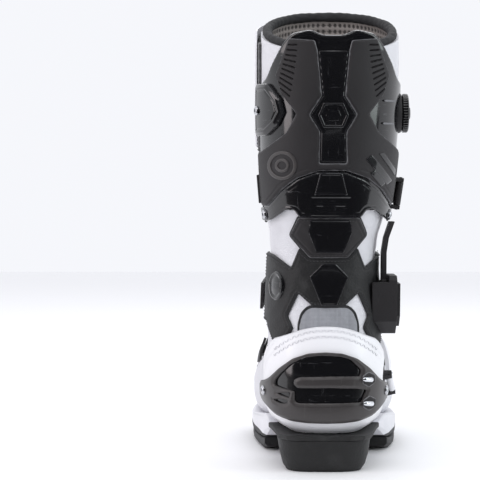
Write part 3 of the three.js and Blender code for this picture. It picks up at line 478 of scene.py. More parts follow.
class Finish:
    # One material: its nodes are added by node(), and its Principled inputs set by surface()
    def __init__(self, name, recordSlot):
        self.material = bpy.data.materials.new(name)
        self.material.use_nodes = True
        self.material["recordSlot"] = recordSlot
        self.tree = self.material.node_tree
        self.shader = self.tree.nodes["Principled BSDF"]
        self.place = Socket(self, self.tree.nodes.new("ShaderNodeTexCoord").outputs["Object"])

    def node(self, kind, settings, *values, out=0, **named):
        made = self.tree.nodes.new(kind)
        for key, value in settings.items():
            setattr(made, key, value)
        for key, value in [*enumerate(values), *named.items()]:
            socket = made.inputs[key.replace("_", " ") if isinstance(key, str) else key]
            if isinstance(value, Socket):
                self.tree.links.new(value.link, socket)
            elif value is not None:
                self.fill(socket, value)
        return Socket(self, made.outputs[out])

    def fill(self, socket, value):
        if socket.type == "VECTOR" and isinstance(value, (int, float)):
            value = (value, value, value)
        if socket.type == "RGBA" and len(value) == 3:
            value = (*value, 1)
        socket.default_value = value

    def noise(self, scale, detail=3, where=None, rough=0.5, stretch=None):
        where = where or self.place
        if stretch:
            where = where * stretch
        return self.node("ShaderNodeTexNoise", {}, Vector=where, Scale=scale, Detail=detail, Roughness=rough)

    def cells(self, scale, feature="F1", where=None, loose=1.0):
        return self.node("ShaderNodeTexVoronoi", {"feature": feature}, Vector=where or self.place,
                         Scale=scale,
                         Randomness=loose)

    def value(self, name):
        return self.node("ShaderNodeAttribute", {"attribute_name": name}, out="Fac")

    def between(self, source, low, high, a=0.0, b=1.0):
        settings = {"interpolation_type": "SMOOTHSTEP"}
        return self.node("ShaderNodeMapRange", settings, Value=source, From_Min=low, From_Max=high, To_Min=a,
                         To_Max=b)

    def mix(self, share, a, b):
        made = self.tree.nodes.new("ShaderNodeMix")
        made.data_type = "RGBA"
        for key, value in ((0, share), (6, a), (7, b)):
            if isinstance(value, Socket):
                self.tree.links.new(value.link, made.inputs[key])
            else:
                self.fill(made.inputs[key], value)
        return Socket(self, made.outputs[2])

    def bump(self, height, distance, strength=1.0, below=None):
        made = self.node("ShaderNodeBump", {}, Height=height, Distance=distance, Strength=strength)
        if below:
            self.tree.links.new(below.link, made.link.node.inputs["Normal"])
        return made

    def surface(self, **named):
        for key, value in named.items():
            socket = self.shader.inputs[key.replace("_", " ")]
            if isinstance(value, Socket):
                self.tree.links.new(value.link, socket)
            else:
                self.fill(socket, value)
        return self.material


# Finishes
finishes = {
    "white": (0.70, 0.70, 0.735), "whiteShade": (0.52, 0.53, 0.58), "matte": (0.017, 0.0155, 0.017),
    "gloss": (0.004, 0.004, 0.005), "rubber": (0.008, 0.008, 0.0085), "steel": (0.62, 0.63, 0.66),
    "silver": (0.80, 0.82, 0.86), "mesh": (0.19, 0.165, 0.15), "meshLight": (0.33, 0.30, 0.285),
    "binding": (0.020, 0.020, 0.022), "thread": (0.62, 0.62, 0.66),
}


def whiteLeather():
    # Fine pebbled grain with soft creases, faint grey scuffs and painted shade darkening the pleats and seams
    f = Finish("whiteLeather", "whiteLeather")
    grain = f.cells(780, "DISTANCE_TO_EDGE")
    creases = f.noise(120, 5)
    scuff = f.between(f.noise(38, 6, rough=0.62), 0.60, 0.74)
    rub = f.between(f.noise(210, 4), 0.45, 0.72)
    color = f.mix(scuff * rub * 0.5, finishes["white"], finishes["whiteShade"])
    # painted shade: the leather is darkened towards grey in its pleats, creases and seams, where shade would fall
    creaseShade = f.value("valleyShade")
    color = f.mix(creaseShade * 0.45, color, (0.34, 0.34, 0.38))
    fine = f.bump(f.between(grain, 0.0, 0.25), 0.00035, 0.8)
    normal = f.bump(creases, 0.0014, 0.5, fine)
    return f.surface(Base_Color=color, Roughness=0.40 + 0.16 * creases, Normal=normal,
                     Specular_IOR_Level=0.45)


def whitePlastic():
    f = Finish("whitePlastic", "whitePlastic")
    haze = f.noise(90, 5)
    scratch = f.between(f.noise(60, 8, stretch=(1, 1, 7), rough=0.7), 0.62, 0.70)
    edge = f.value("edge")
    color = f.mix(scratch * 0.35 + edge * 0.12, (0.76, 0.76, 0.785), (0.50, 0.51, 0.56))
    normal = f.bump(f.noise(900, 2), 0.00008, 0.25)
    return f.surface(Base_Color=color, Roughness=0.26 + 0.14 * haze, Normal=normal)


def mattePlastic():
    # Charcoal moulding with a fine spark texture, rubbed paler along its edges
    f = Finish("mattePlastic", "matteShell")
    spark = f.cells(1700)
    cloud = f.noise(46, 5)
    edge = f.value("edge")
    wear = f.between(f.noise(300, 5) + edge, 0.72, 1.35)
    base = f.mix(cloud * 0.5, finishes["matte"], (0.026, 0.0235, 0.026))
    color = f.mix(wear * 0.8, base, (0.17, 0.17, 0.18))
    normal = f.bump(spark, 0.00022, 0.40)
    rough = 0.52 + 0.12 * cloud - 0.14 * wear
    return f.surface(Base_Color=color, Roughness=rough, Normal=normal, Specular_IOR_Level=0.38)


def satinPlastic():
    # Warm grey-black moulding, smoother than the matte plates, with fine rub marks
    f = Finish("satinPlastic", "glossShell")
    cloud = f.noise(60, 5)
    rub = f.between(f.noise(46, 9, stretch=(6, 1, 1), rough=0.7), 0.58, 0.70)
    color = f.mix(rub * 0.25 + f.value("edge") * 0.10, (0.036, 0.032, 0.032), (0.15, 0.145, 0.145))
    normal = f.bump(f.noise(1500, 2), 0.00008, 0.35)
    return f.surface(Base_Color=color, Roughness=0.30 + 0.12 * cloud + 0.08 * rub, Normal=normal)


def glossPlastic():
    # Polished black with hairline scratches and a faint orange peel
    f = Finish("glossPlastic", "glossShell")
    peel = f.noise(140, 3)
    lines = f.noise(34, 10, stretch=(1, 1, 9), rough=0.74)
    crossLines = f.noise(30, 10, stretch=(8, 1, 1), rough=0.74)
    scratch = f.between(lines, 0.60, 0.66) + f.between(crossLines, 0.61, 0.67)
    edge = f.value("edge")
    color = f.mix(scratch * 0.10 + edge * 0.06, finishes["gloss"], (0.22, 0.22, 0.24))
    dust = f.between(f.noise(520, 4), 0.60, 0.80)
    normal = f.bump(peel, 0.0005, 0.10, f.bump(scratch, 0.00005, 0.5))
    return f.surface(Base_Color=color, Roughness=0.13 + 0.10 * scratch + 0.10 * dust, Normal=normal,
                     Coat_Weight=0.35, Coat_Roughness=0.05)


def rubberFinish(name, shade, recordSlot="rubber", grain=900, depth=0.0003):
    f = Finish(name, recordSlot)
    specks = f.cells(grain)
    dust = f.between(f.noise(70, 6, rough=0.65), 0.50, 0.78)
    edge = f.value("edge")
    pale = tuple(c * 2.4 + 0.030 for c in shade)
    color = f.mix(dust * 0.30 + edge * 0.28, shade, pale)
    return f.surface(Base_Color=color, Roughness=0.56 + 0.16 * dust, Normal=f.bump(specks, depth, 0.45),
                     Specular_IOR_Level=0.38)


def meshFabric():
    # Spacer mesh: the holes from the lattice attribute are painted near-black as shade in them; threads and fuzz
    # come from the bump
    f = Finish("spacerMesh", "meshLining")
    hole = f.value("hole")
    fuzz = f.noise(1500, 3)
    cloud = f.noise(26, 4)
    threads = f.mix(cloud, finishes["mesh"], finishes["meshLight"])
    # painted shade: near-black in the recessed holes of the lattice
    color = f.mix(hole, threads, (0.022, 0.019, 0.018))
    color = f.mix(fuzz * 0.25, color, (0.30, 0.27, 0.26))
    return f.surface(Base_Color=color, Roughness=0.82, Normal=f.bump(fuzz, 0.0004, 0.6), Sheen_Weight=0.25)


def weave(name, shade, pale, recordSlot, count, u="weaveU", v="weaveV", sheen=0.15, depth=0.0004):
    # Over-and-under threads: two crossed waves, one high where the other is low
    f = Finish(name, recordSlot)
    along = f.node("ShaderNodeMath", {"operation": "SINE"}, f.value(u) * (2 * math.pi * count))
    across = f.node("ShaderNodeMath", {"operation": "SINE"}, f.value(v) * (2 * math.pi * count))
    threads = along * across * 0.5 + 0.5
    fuzz = f.noise(1300, 3)
    dust = f.between(f.noise(48, 5), 0.42, 0.75)
    color = f.mix(threads * 0.55 + fuzz * 0.25, shade, pale)
    color = f.mix(dust * 0.18, color, tuple(c * 1.4 + 0.03 for c in pale))
    normal = f.bump(threads + fuzz * 0.4, depth, 0.8)
    return f.surface(Base_Color=color, Roughness=0.78 + 0.12 * fuzz, Normal=normal, Sheen_Weight=sheen)


def fuzzFabric(name, shade, pale, recordSlot):
    # Brushed loops: short random fibres catch the light
    f = Finish(name, recordSlot)
    fibres = f.noise(900, 6, rough=0.8, stretch=(1, 1, 0.5))
    clumps = f.noise(240, 4)
    light = f.between(fibres + clumps * 0.5, 0.62, 0.98)
    color = f.mix(light, shade, pale)
    return f.surface(Base_Color=color, Roughness=0.9, Normal=f.bump(fibres + clumps, 0.0012, 0.9),
                     Sheen_Weight=0.5)


def metal(name, shade, rough, recordSlot="steel"):
    f = Finish(name, recordSlot)
    turn = f.noise(700, 3, stretch=(1, 5, 1))
    worn = f.noise(160, 4)
    color = f.mix(worn * 0.45, shade, tuple(c * 0.62 for c in shade))
    return f.surface(Base_Color=color, Metallic=1.0, Roughness=rough + 0.14 * turn,
                     Normal=f.bump(turn, 0.00006, 0.35))


def threadFinish(name, shade):
    f = Finish(name, "whiteLeather")
    twist = f.noise(2200, 2)
    color = f.mix(twist, shade, tuple(c * 0.55 for c in shade))
    return f.surface(Base_Color=color, Roughness=0.6, Normal=f.bump(twist, 0.0001, 0.5))


leatherWhite, plasticWhite = whiteLeather(), whitePlastic()
plasticMatte, plasticGloss = mattePlastic(), glossPlastic()
rubberBlack = rubberFinish("rubberBlack", finishes["rubber"])
rubberPad = rubberFinish("rubberPadded", (0.013, 0.013, 0.014), "binding", 620, 0.0005)
insoleFelt = fuzzFabric("insoleFelt", (0.09, 0.09, 0.10), (0.20, 0.20, 0.22), "greyPad")
meshBrown = meshFabric()
bindingBlack = weave("bindingWeave", (0.006, 0.006, 0.007), (0.030, 0.030, 0.033), "binding", 1.0, sheen=0.04,
                     depth=0.0002)
padGrey = weave("padWeave", (0.14, 0.145, 0.16), (0.36, 0.37, 0.40), "greyPad", 1.0, sheen=0.25)
hookBlack = fuzzFabric("hookStrip", (0.012, 0.012, 0.013), (0.12, 0.12, 0.13), "webbing")
steelBright = metal("steelBright", finishes["steel"], 0.20)
silverBright = metal("silverReflector", finishes["silver"], 0.12)
steelDark = metal("steelDark", (0.16, 0.16, 0.17), 0.34)
threadWhite = threadFinish("threadWhite", finishes["thread"])
threadDark = threadFinish("threadDark", (0.055, 0.055, 0.06))
plasticSatin = satinPlastic()
print("finishes made")


# Makers shared by the pieces

def gridMesh(name, points, closeAcross=True, capStart=False, capEnd=False, flip=False):
    # A rectangular array of points becomes quads; the second direction may close on itself
    rows, columns = points.shape[:2]
    index = np.arange(rows * columns).reshape(rows, columns)
    after = np.roll(index, -1, axis=1) if closeAcross else index[:, 1:]
    here = index if closeAcross else index[:, :-1]
    quads = np.stack([here[:-1], after[:-1], after[1:], here[1:]], -1).reshape(-1, 4)
    flat = points.reshape(-1, 3)
    fans = []
    for wanted, row, turn in ((capStart, 0, True), (capEnd, rows - 1, False)):
        if wanted:
            flat = np.concatenate([flat, points[row].mean(0, keepdims=True)])
            ring, following = index[row], np.roll(index[row], -1)
            middle = np.full(columns, len(flat) - 1)
            fans.append(np.stack([following, ring, middle] if turn else [ring, following, middle], 1))
    sets = [quads, *fans]
    if flip:
        sets = [f[:, ::-1] for f in sets]
    return newMesh(name, flat, *sets)


def frames(path, up=(0.0, 0.0, 1.0)):
    # Tangent, side and lift directions along a path, the lift kept as near as can be to the given one
    tangent = unit(np.gradient(path, axis=0))
    lift = np.broadcast_to(np.array(up, float), path.shape)
    side = unit(np.cross(tangent, lift))
    return tangent, side, unit(np.cross(side, tangent))


def tube(path, radius, lift, sides=10, flatness=1.0):
    # A rounded cord along a path: an ellipse swept along it, its ends drawn to a dome
    n = len(path)
    tangent, side, rise = frames(path, lift)
    turn = np.linspace(0, 2 * math.pi, sides, endpoint=False)
    ends = np.sqrt(np.clip(1 - np.array([0.9, 0.55, 0.2]) ** 2, 0, 1))
    taper = np.ones(n)
    k = min(3, n // 3)
    taper[:k], taper[n - k:] = ends[:k], ends[:k][::-1]
    r = np.broadcast_to(radius, (n,)) * taper
    ring = (np.cos(turn)[None, :, None] * side[:, None] + np.sin(turn)[None, :, None] * rise[:, None] * flatness)
    return path[:, None] + ring * r[:, None, None]


def joined(name, grids):
    # Several swept grids as one mesh, each closed at both ends by a fan
    points, quads, fans, start = [], [], [], 0
    for g in grids:
        rows, columns = g.shape[:2]
        index = np.arange(rows * columns).reshape(rows, columns) + start
        after = np.roll(index, -1, axis=1)
        quads.append(np.stack([index[:-1], after[:-1], after[1:], index[1:]], -1).reshape(-1, 4))
        start += rows * columns
        points.append(g.reshape(-1, 3))
        points.append(np.stack([g[0].mean(0), g[-1].mean(0)]))
        first, last = np.full(columns, start), np.full(columns, start + 1)
        fans += [np.stack([after[0], index[0], first], 1), np.stack([index[-1], after[-1], last], 1)]
        start += 2
    return newMesh(name, np.concatenate(points), np.concatenate(quads), np.concatenate(fans))


def stitchRow(path, normals, length=2.0, gap=1.1, radius=0.32, lift=0.1, zigzag=0.0):
    # Six-sided stitches at even steps along a path: each a short hexagonal cord bent down into the leather
    along = np.concatenate([[0], np.cumsum(np.linalg.norm(np.diff(path, axis=0), axis=1))])
    count = max(int(along[-1] / ((length + gap) * mm)), 1)
    starts = (np.arange(count) + 0.2) * along[-1] / count
    shares = np.linspace(0, 1, 5)
    places = starts[:, None] + shares * length * mm
    at = lambda values: np.stack([np.interp(places, along, values[:, k]) for k in range(3)], -1)
    spots, outs = at(path), unit(at(normals))
    ahead = unit(np.gradient(spots, axis=1))
    side = np.cross(outs, ahead)
    arch = np.array([-0.25, 0.28, 0.42, 0.28, -0.25]) * mm
    spots = spots + outs * (arch + lift * mm)[None, :, None]
    if zigzag:
        lean = (np.arange(count) % 2 * 2 - 1)[:, None, None] * (shares - 0.5)[None, :, None]
        spots = spots + side * lean * zigzag * mm
    turn = np.linspace(0, 2 * math.pi, 6, endpoint=False)
    swell = np.array([0.5, 0.9, 1.0, 0.9, 0.5])[None, :, None, None]
    ring = np.cos(turn)[:, None] * side[:, :, None] + np.sin(turn)[:, None] * outs[:, :, None]
    return list(spots[:, :, None] + ring * swell * radius * mm)


def onBoot(patch, line, height, step=1.5, closed=False):
    # A line on the flat map, in metres, as points on the boot and their normals
    line = fine(line, step * mm, closed)
    if closed:
        line = np.concatenate([line, line[:1]])
    t, angle = patch.spot(line[:, 0], line[:, 1])
    return raised(t, angle, np.full(len(t), height * mm)), skinNormal(t, angle)


def inwards(outline, distance):
    # An outline moved inwards by a distance, each point along its corner's bisector
    before, after = outline - np.roll(outline, 1, axis=0), np.roll(outline, -1, axis=0) - outline
    side = unit(before) + unit(after)
    out = unit(np.stack([side[:, 1], -side[:, 0]], 1))
    area = 0.5 * np.sum(outline[:, 0] * np.roll(outline[:, 1], -1) - outline[:, 1] * np.roll(outline[:, 0], -1))
    return outline - out * distance * (1 if area > 0 else -1)


def refined(name, finish, body, nodes, bevel=0.5, crease=35, merge=0.02):
    # A CAD node's own shape with its doubles merged, flat faces joined and edges bevelled
    work = bmesh.new()
    for node in nodes:
        work.from_mesh(bpy.data.objects[node].data)
    bmesh.ops.remove_doubles(work, verts=work.verts, dist=merge * mm)
    bmesh.ops.dissolve_limit(work, angle_limit=math.radians(4), verts=work.verts, edges=work.edges)
    bmesh.ops.triangulate(work, faces=[f for f in work.faces if len(f.verts) > 4])
    bmesh.ops.dissolve_limit(work, angle_limit=math.radians(1), verts=work.verts, edges=work.edges)
    bmesh.ops.recalc_face_normals(work, faces=work.faces)
    mesh = bpy.data.meshes.new(name)
    work.to_mesh(mesh)
    work.free()
    thing = piece(name, mesh, finish, body, nodes, crease)
    if bevel:
        rim = thing.modifiers.new("edges", "BEVEL")
        rim.width = bevel * mm
        rim.segments = 2
        rim.limit_method = "ANGLE"
        rim.angle_limit = math.radians(34)
        rim.harden_normals = False
    return thing


def turned(name, profile, centre, axis, finish, body, replaced=(), around=96, shape=None, crease=30):
    # A profile of radius and height pairs (mm) turned about an axis; shape adds height to the radius by angle
    profile = np.array(profile, float) * mm
    axis = unit(np.array(axis, float))
    helper = np.array([0, 0, 1.0]) if abs(axis[2]) < 0.9 else np.array([0, 1.0, 0])
    a = unit(np.cross(helper, axis))
    b = np.cross(axis, a)
    turn = np.linspace(0, 2 * math.pi, around, endpoint=False)
    r = np.broadcast_to(profile[:, :1], (len(profile), around)).copy()
    if shape is not None:
        r = shape(r, profile[:, 1:], turn[None, :])
    ring = np.cos(turn)[:, None] * a + np.sin(turn)[:, None] * b
    points = np.array(centre, float) + r[..., None] * ring + profile[:, 1, None, None] * axis
    mesh = gridMesh(name, points, capStart=True, capEnd=True)
    return piece(name, mesh, finish, body, replaced, crease)


def screwMesh(name, centre, out, radius, height, base=0.0):
    # A domed screw head with a six-sided socket, as heights over polar rings
    out = unit(np.array(out, float))
    a = unit(np.cross(np.array([0, 0, 1.0]), out))
    b = np.cross(out, a)
    turn = np.linspace(0, 2 * math.pi, 72, endpoint=False)
    hexRadius = 0.50 * radius * math.cos(math.pi / 6) / np.cos((turn % (math.pi / 3)) - math.pi / 6)
    ring = lambda r, h: (np.broadcast_to(r, turn.shape), np.full(72, h))
    rows = [ring(radius * 0.96, base), ring(radius, base + 0.3), ring(radius, base + height * 0.45),
            ring(radius * 0.93, base + height * 0.72), ring(radius * 0.80, base + height * 0.93),
            ring(radius * 0.66, base + height), (hexRadius * 1.05, np.full(72, base + height)),
            (hexRadius * 0.97, np.full(72, base + height - 0.15)),
            (hexRadius * 0.95, np.full(72, base + height * 0.30)), ring(radius * 0.08, base + height * 0.24)]
    points = np.stack([np.array(centre) * mm + (r[:, None] * (np.cos(turn)[:, None] * a + np.sin(turn)[:, None] * b)
                                                 + h[:, None] * out) * mm for r, h in rows])
    return gridMesh(name, points, capStart=True, capEnd=True)


# White leather upper in one piece, from the collar over the ankle to the toe
upper = {"rows": 400, "around": 200, "insideRows": 40, "wall": 2.3, "pleats": 6, "pleatDepth": 1.3,
         "seamDepth": 0.7,
         "sideSeams": (-112, 100), "toeSeam": 15.6}


def leatherRelief(t, angle):
    # Pleats across the front of the flex zone, pulled creases behind it, and stitched-down seams
    turn = np.degrees(angle)
    front = smooth(60, 150, np.abs((turn + 180) % 360 - 180))
    zone = smooth(4.9, 5.5, t) * (1 - smooth(8.6, 9.6, t))
    pleat = np.abs(np.sin((t - 5.1) * math.pi * upper["pleats"] / 3.6)) ** 0.7 - 0.62
    height = pleat * upper["pleatDepth"] * zone * front
    wave = np.sin(t * 7.3 + 2.1 * np.sin(angle * 3)) * np.sin(angle * 5 + t * 1.7)
    height = height + 0.28 * wave * smooth(0, 6, t)
    cuts = [(turn - a + 180) % 360 - 180 for a in upper["sideSeams"]]
    for offset in cuts:
        height = height + groove(offset * 0.8, 1.1, upper["seamDepth"]) * smooth(9, 10, t)
    return height + groove((t - upper["toeSeam"]) * 14, 1.0, 0.5)


def makeUpper():
    t = np.linspace(boot["collar"], lastSection, upper["rows"])[:, None]
    angle = np.linspace(0, 2 * math.pi, upper["around"], endpoint=False)[None, :]
    relief = leatherRelief(t, angle)
    outside = raised(t, angle, relief * mm)
    inT = np.linspace(boot["collar"], lastSection, upper["insideRows"])[:, None]
    inside = raised(inT, angle, np.full((upper["insideRows"], upper["around"]), -upper["wall"] * mm))
    mesh = gridMesh("upperLeather", np.concatenate([inside[::-1], outside]), capStart=True, capEnd=True)
    # painted shade: how deep each point lies in a pleat or seam, kept for darkening the leather there
    creaseShade = smooth(0.1, 0.9, -relief).ravel()
    values = np.concatenate([np.zeros(upper["insideRows"] * upper["around"]), creaseShade, [0, 0]])
    addValue(mesh, "valleyShade", values)
    return piece("upperLeather", mesh, leatherWhite, None, ("leg_leather", "flex_leather", "foot_leather"),
                 60)


leather = makeUpper()
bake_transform(leather)


def leatherSeam(name, t, angle, body="foot"):
    # Stitches straight on the upper, along sections and angles in degrees
    t = np.interp(np.linspace(0, 1, 240), np.linspace(0, 1, len(t)), t)
    angle = np.radians(np.interp(np.linspace(0, 1, 240), np.linspace(0, 1, len(angle)), angle))
    relief = leatherRelief(t, angle)
    path = raised(t, angle, (relief + 0.02) * mm)
    piece(name, joined(name, stitchRow(path, skinNormal(t, angle), 2.1, 1.0, 0.3)), threadWhite, body, (), 60)


for side, turn in zip(("Inner", "Outer"), upper["sideSeams"]):
    for row, shift in enumerate((-3.2, 3.2)):
        leatherSeam(f"side{side}Seam{row}", [10.2, 15.3], [turn + shift, turn + shift])
for row, t in enumerate((15.38, 15.82)):
    leatherSeam(f"toeSeam{row}", [t, t], [70, 290])
print("leather upper made")


# Spacer-mesh lining: a lattice of threads over dark holes, as its own height field
lining = {"pitch": 4.4, "rows": 228, "around": 400, "backRows": 12, "low": -5.9, "high": -2.9,
          "holeDepth": 0.9,
          "t": (1.0, 4.9)}


def makeLining():
    # Two crossed cosines, one round the leg and one down it, are highest at the middle of each hole
    t = np.linspace(*lining["t"], lining["rows"])[:, None]
    angle = np.linspace(0, 2 * math.pi, lining["around"], endpoint=False)[None, :]
    line = skin(t[:, 0], np.zeros(len(t)))
    down = np.concatenate([[0], np.cumsum(np.linalg.norm(np.diff(line, axis=0), axis=1))])[:, None] / mm
    ring = skin(np.full(200, 2.0), np.linspace(0, 2 * math.pi, 200))
    count = round(np.linalg.norm(np.diff(ring, axis=0), axis=1).sum() / mm * 0.9 / lining["pitch"])
    lattice = (np.cos(angle * count) + np.cos(2 * math.pi * down / lining["pitch"])) / 2
    hole = smooth(0.05, 0.42, lattice)
    inner = raised(t, angle, (lining["low"] + lining["holeDepth"] * hole) * mm)
    backT = np.linspace(*lining["t"], lining["backRows"])[:, None]
    back = raised(backT, angle, np.full((lining["backRows"], lining["around"]), lining["high"] * mm))
    mesh = gridMesh("cuffLining", np.concatenate([back[-1:], inner[::-1], back]))
    blank = np.zeros((lining["backRows"], lining["around"]))
    addValue(mesh, "hole", np.concatenate([blank[:1], hole[::-1], blank]).ravel())
    return piece("cuffLining", mesh, meshBrown, "cuff", ("cuff_lining",), 50)


makeLining()
print("lining made")


# Padded roll round the collar, swollen by cloth simulation
collar = {"radius": 3.7, "centre": -5.8, "lift": 2.2, "around": 200, "sides": 26, "growth": 0.02,
          "pressure": 40.0,
          "cap": 1.1, "steps": 20, "sewnBelow": -0.35}


def softened(name, mesh, sewn, growth, pressure, cap, steps):
    # Cloth that grows under inner pressure with gravity off, held where it is sewn; no point moves past the
    # cap
    thing = bpy.data.objects.new(name, mesh)
    scene.collection.objects.link(thing)
    start = pointsOf(mesh)
    cloth = thing.modifiers.new("swell", "CLOTH")
    cloth.settings.use_pressure = True
    cloth.settings.uniform_pressure_force = pressure
    cloth.settings.effector_weights.gravity = 0
    cloth.settings.quality = 4
    cloth.settings.shrink_min = -growth
    group = thing.vertex_groups.new(name="sewn")
    group.add([int(i) for i in np.nonzero(sewn)[0]], 1.0, "REPLACE")
    cloth.settings.vertex_group_mass = "sewn"
    for step in range(1, steps + 1):
        scene.frame_set(step)
    graph = bpy.context.evaluated_depsgraph_get()
    move = pointsOf(thing.evaluated_get(graph).data) - start
    size = np.linalg.norm(move, axis=1, keepdims=True)
    move = move * np.minimum(1, cap * mm / np.maximum(size, 1e-9))
    kept = np.linalg.norm(move, axis=1) / mm
    print(f"{name}: cloth swelled by up to {kept.max():.2f} mm, {kept.mean():.2f} mm on average, "
              f"before the cap {size.max() / mm:.2f} mm")
    thing.modifiers.clear()
    scene.frame_set(1)
    mesh.vertices.foreach_set("co", (start + move).ravel())
    mesh.update()
    bpy.data.objects.remove(thing)
    return mesh


def makeCollar():
    # A torus that follows the collar, with fine gathers across it
    angle = np.linspace(0, 2 * math.pi, collar["around"], endpoint=False)[:, None]
    turn = np.linspace(0, 2 * math.pi, collar["sides"], endpoint=False)[None, :]
    t = boot["collar"]
    middle = raised(np.full(angle.shape, t), angle, np.full(angle.shape, collar["centre"] * mm))
    out = skinNormal(np.full(angle.shape, t), angle)
    up = unit(skin(np.full(angle.shape, t - 0.5), angle) - skin(np.full(angle.shape, t + 0.5), angle))
    gather = 1 + 0.035 * np.sin(angle * 47 + 1.3 * np.sin(angle * 3)) + 0.03 * np.sin(angle * 11)
    r = collar["radius"] * gather * mm
    points = middle + up * collar["lift"] * mm
    points = points + (np.cos(turn)[..., None] * out + np.sin(turn)[..., None] * up * 1.12) * r[..., None]
    mesh = gridMesh("collarRoll", np.concatenate([points, points[:1]]))
    # Sewn to the leather along its lower side
    sewn = np.broadcast_to((np.sin(turn) < collar["sewnBelow"]) * 1.0, points.shape[:2])
    addValue(mesh, "sewn", np.concatenate([sewn, sewn[:1]]).ravel())
    weldedMesh(mesh)
    held = np.empty(len(mesh.vertices), np.float32)
    mesh.attributes["sewn"].data.foreach_get("value", held)
    mesh = softened("collarSwell", mesh, held > 0.5, collar["growth"], collar["pressure"], collar["cap"],
                    collar["steps"])
    spots = pointsOf(mesh)
    around = np.arctan2(spots[:, 0] - 0.006, spots[:, 1] - 0.014)
    addValue(mesh, "weaveU", around * 0.048 / 0.0011)
    addValue(mesh, "weaveV", (spots[:, 2] - spots[:, 1] * 0.3) / 0.0011)
    thing = piece("collarRoll", mesh, bindingBlack, "cuff", ("collar_binding",), 60)
    soft = thing.modifiers.new("soft", "SUBSURF")
    soft.levels = soft.render_levels = 1


makeCollar()
print("collar made")


# Rear armour is drawn on one flat map behind the leg; the front pieces on another
backMap = Patch(0, 0.3, 10.6)
frontMap = Patch(180, 0.9, 15.9)

calf = {
    "centre": 6.5, "reach": 76, "low": 0.5, "wall": 2.4, "plateLow": 3.2, "plateWall": 2.2,
    "shell": [(0, 350.2), (9, 350.4), (18, 354.8), (34, 352), (41, 344), (49, 329), (53, 318), (62, 309),
              (80, 306),
              (80, 207), (47, 207), (36, 222), (14, 236), (0, 236)],
    "plate": [(0, 248.5), (11, 248.5), (10.4, 273.2), (19, 287.2), (9.2, 302), (12.7, 337.5), (15, 346),
              (36, 348),
              (46.5, 319.5), (42, 304), (29.8, 288), (38, 273), (58, 258.5), (80, 257), (80, 215), (52, 214),
              (41, 227.6), (28.5, 236.8), (11.5, 242.5), (0, 242.5)],
    "spine": [(0, 338), (12, 337.6), (8.6, 302), (18.3, 287.2), (9.8, 273.4), (10.4, 249.2), (0, 249.2)],
    "badge": [(0, 296.4), (8, 296.4), (12.2, 286.6), (8, 276.8), (0, 276.8)],
    "slots": 10, "slotDepth": 1.5,
}


def slotLines():
    # Ten thin slots on each side, level at the top and turning to run outwards and up at the bottom
    share = np.linspace(0, 1, calf["slots"])[:, None]
    near = np.concatenate([29 + 5.4 * share**1.4, 342.6 - 40.6 * share], 1)
    length, tilt = 6.5 + 5.5 * share, np.radians(2 + 40 * share)
    far = near + length * np.concatenate([np.cos(tilt), np.sin(tilt)], 1)
    lines = []
    for side in (1, -1):
        for a, b in zip(near, far):
            lines.append(np.array([a, b]) * (side, 1) + (calf["centre"], 0))
    return lines


def channels(flat, lines, half, depth):
    # The deepest of several channels at each point
    height = np.zeros(len(flat))
    for line in lines:
        away, _ = nearest(flat, line, closed=False)
        height = np.minimum(height, groove(away, half, depth))
    return height


def shellRelief(flat, inset, spot):
    # A raised lip along the top with a hollow just under its dip, and soft long facets down the sides
    x, z = spot[:, 0] - calf["centre"], spot[:, 2]
    hollow = np.exp(-((x / 17) ** 2) - ((z - 344) / 5.5) ** 2)
    lip = np.exp(-((inset - 2.2) / 1.3) ** 2) * smooth(330, 345, z)
    return -1.15 * hollow + 0.35 * lip


def plateRelief(flat, inset, spot):
    # Slots, a low step round the edge and a line above the lower arch
    z = spot[:, 2]
    height = -0.55 * (1 - smooth(1.3, 1.9, inset)) + channels(flat, plateSlots, 0.72, calf["slotDepth"])
    arch = np.exp(-((inset - 4.6) / 0.5) ** 2) * (z < 245) * 0.45
    return height - arch


def spineRelief(flat, inset, spot):
    # A light raised rim and a shallow keel down the middle
    x = spot[:, 0] - calf["centre"]
    return 0.35 * np.exp(-((inset - 0.9) / 0.5) ** 2) - 0.35 * smooth(1.5, 3.0,
        inset) + 0.3 * np.exp(-(x / 2.5) ** 2)


def badgeRelief(flat, inset, spot):
    # A plain six-sided boss: raised border, sunken field, small raised kernel
    return -0.75 * smooth(1.5, 2.0, inset) + 0.45 * smooth(5.2, 5.7, inset)


def rearPlate(name, half, centre, low, wall, finish, body, replaced, radius=1.2, edge=0.8, relief=None,
              reach=76,
              holes=(), pitch=0.75, crease=38):
    outline = backMap.fromBehind(rounded(bothHalves(half, centre), radius), reach, low + wall)
    mesh = plateMesh(name, backMap, outline, low, wall, edge, relief, holes, pitch)
    return piece(name, mesh, finish, body, replaced, crease), outline


plateSlots = [backMap.fromBehind(line, 76, 5, closed=False, step=3) / mm for line in slotLines()]
rearPlate("calfShell", calf["shell"], calf["centre"], calf["low"], calf["wall"], plasticGloss,
                            "cuff", ("calf_shell",), 3.5, 1.4, shellRelief, pitch=0.9)
rearPlate("calfPlate", calf["plate"], calf["centre"], calf["plateLow"], calf["plateWall"],
                           plasticMatte, "cuff", ("calf_plate",), 1.6, 0.8, plateRelief, pitch=0.5)
rearPlate("spinePanel", calf["spine"], calf["centre"], 3.2, 1.2, plasticGloss, "cuff", ("spine_panel",), 1.0,
          0.6,
          spineRelief, pitch=0.5)
rearPlate("spineBadge", calf["badge"], calf["centre"], 4.6, 1.4, plasticGloss, "cuff", ("spine_badge",), 0.8,
          0.4,
          badgeRelief, pitch=0.35)
print("calf shell made")


# Plain marks on the plate: two rings on the inner side, slanted bars on the outer
marks = {"ring": (-34, 247), "rings": [(11.6, 9.0), (5.6, 3.4)], "low": 5.3, "wall": 0.9,
         "bars": [[(33, 252), (38, 255.5), (56, 235), (51, 231.5)],
                  [(44, 256.5), (48, 257), (59, 244), (58.5, 239)],
                  [(37, 240.5), (41, 243.5), (50, 233), (46.5, 230)]]}


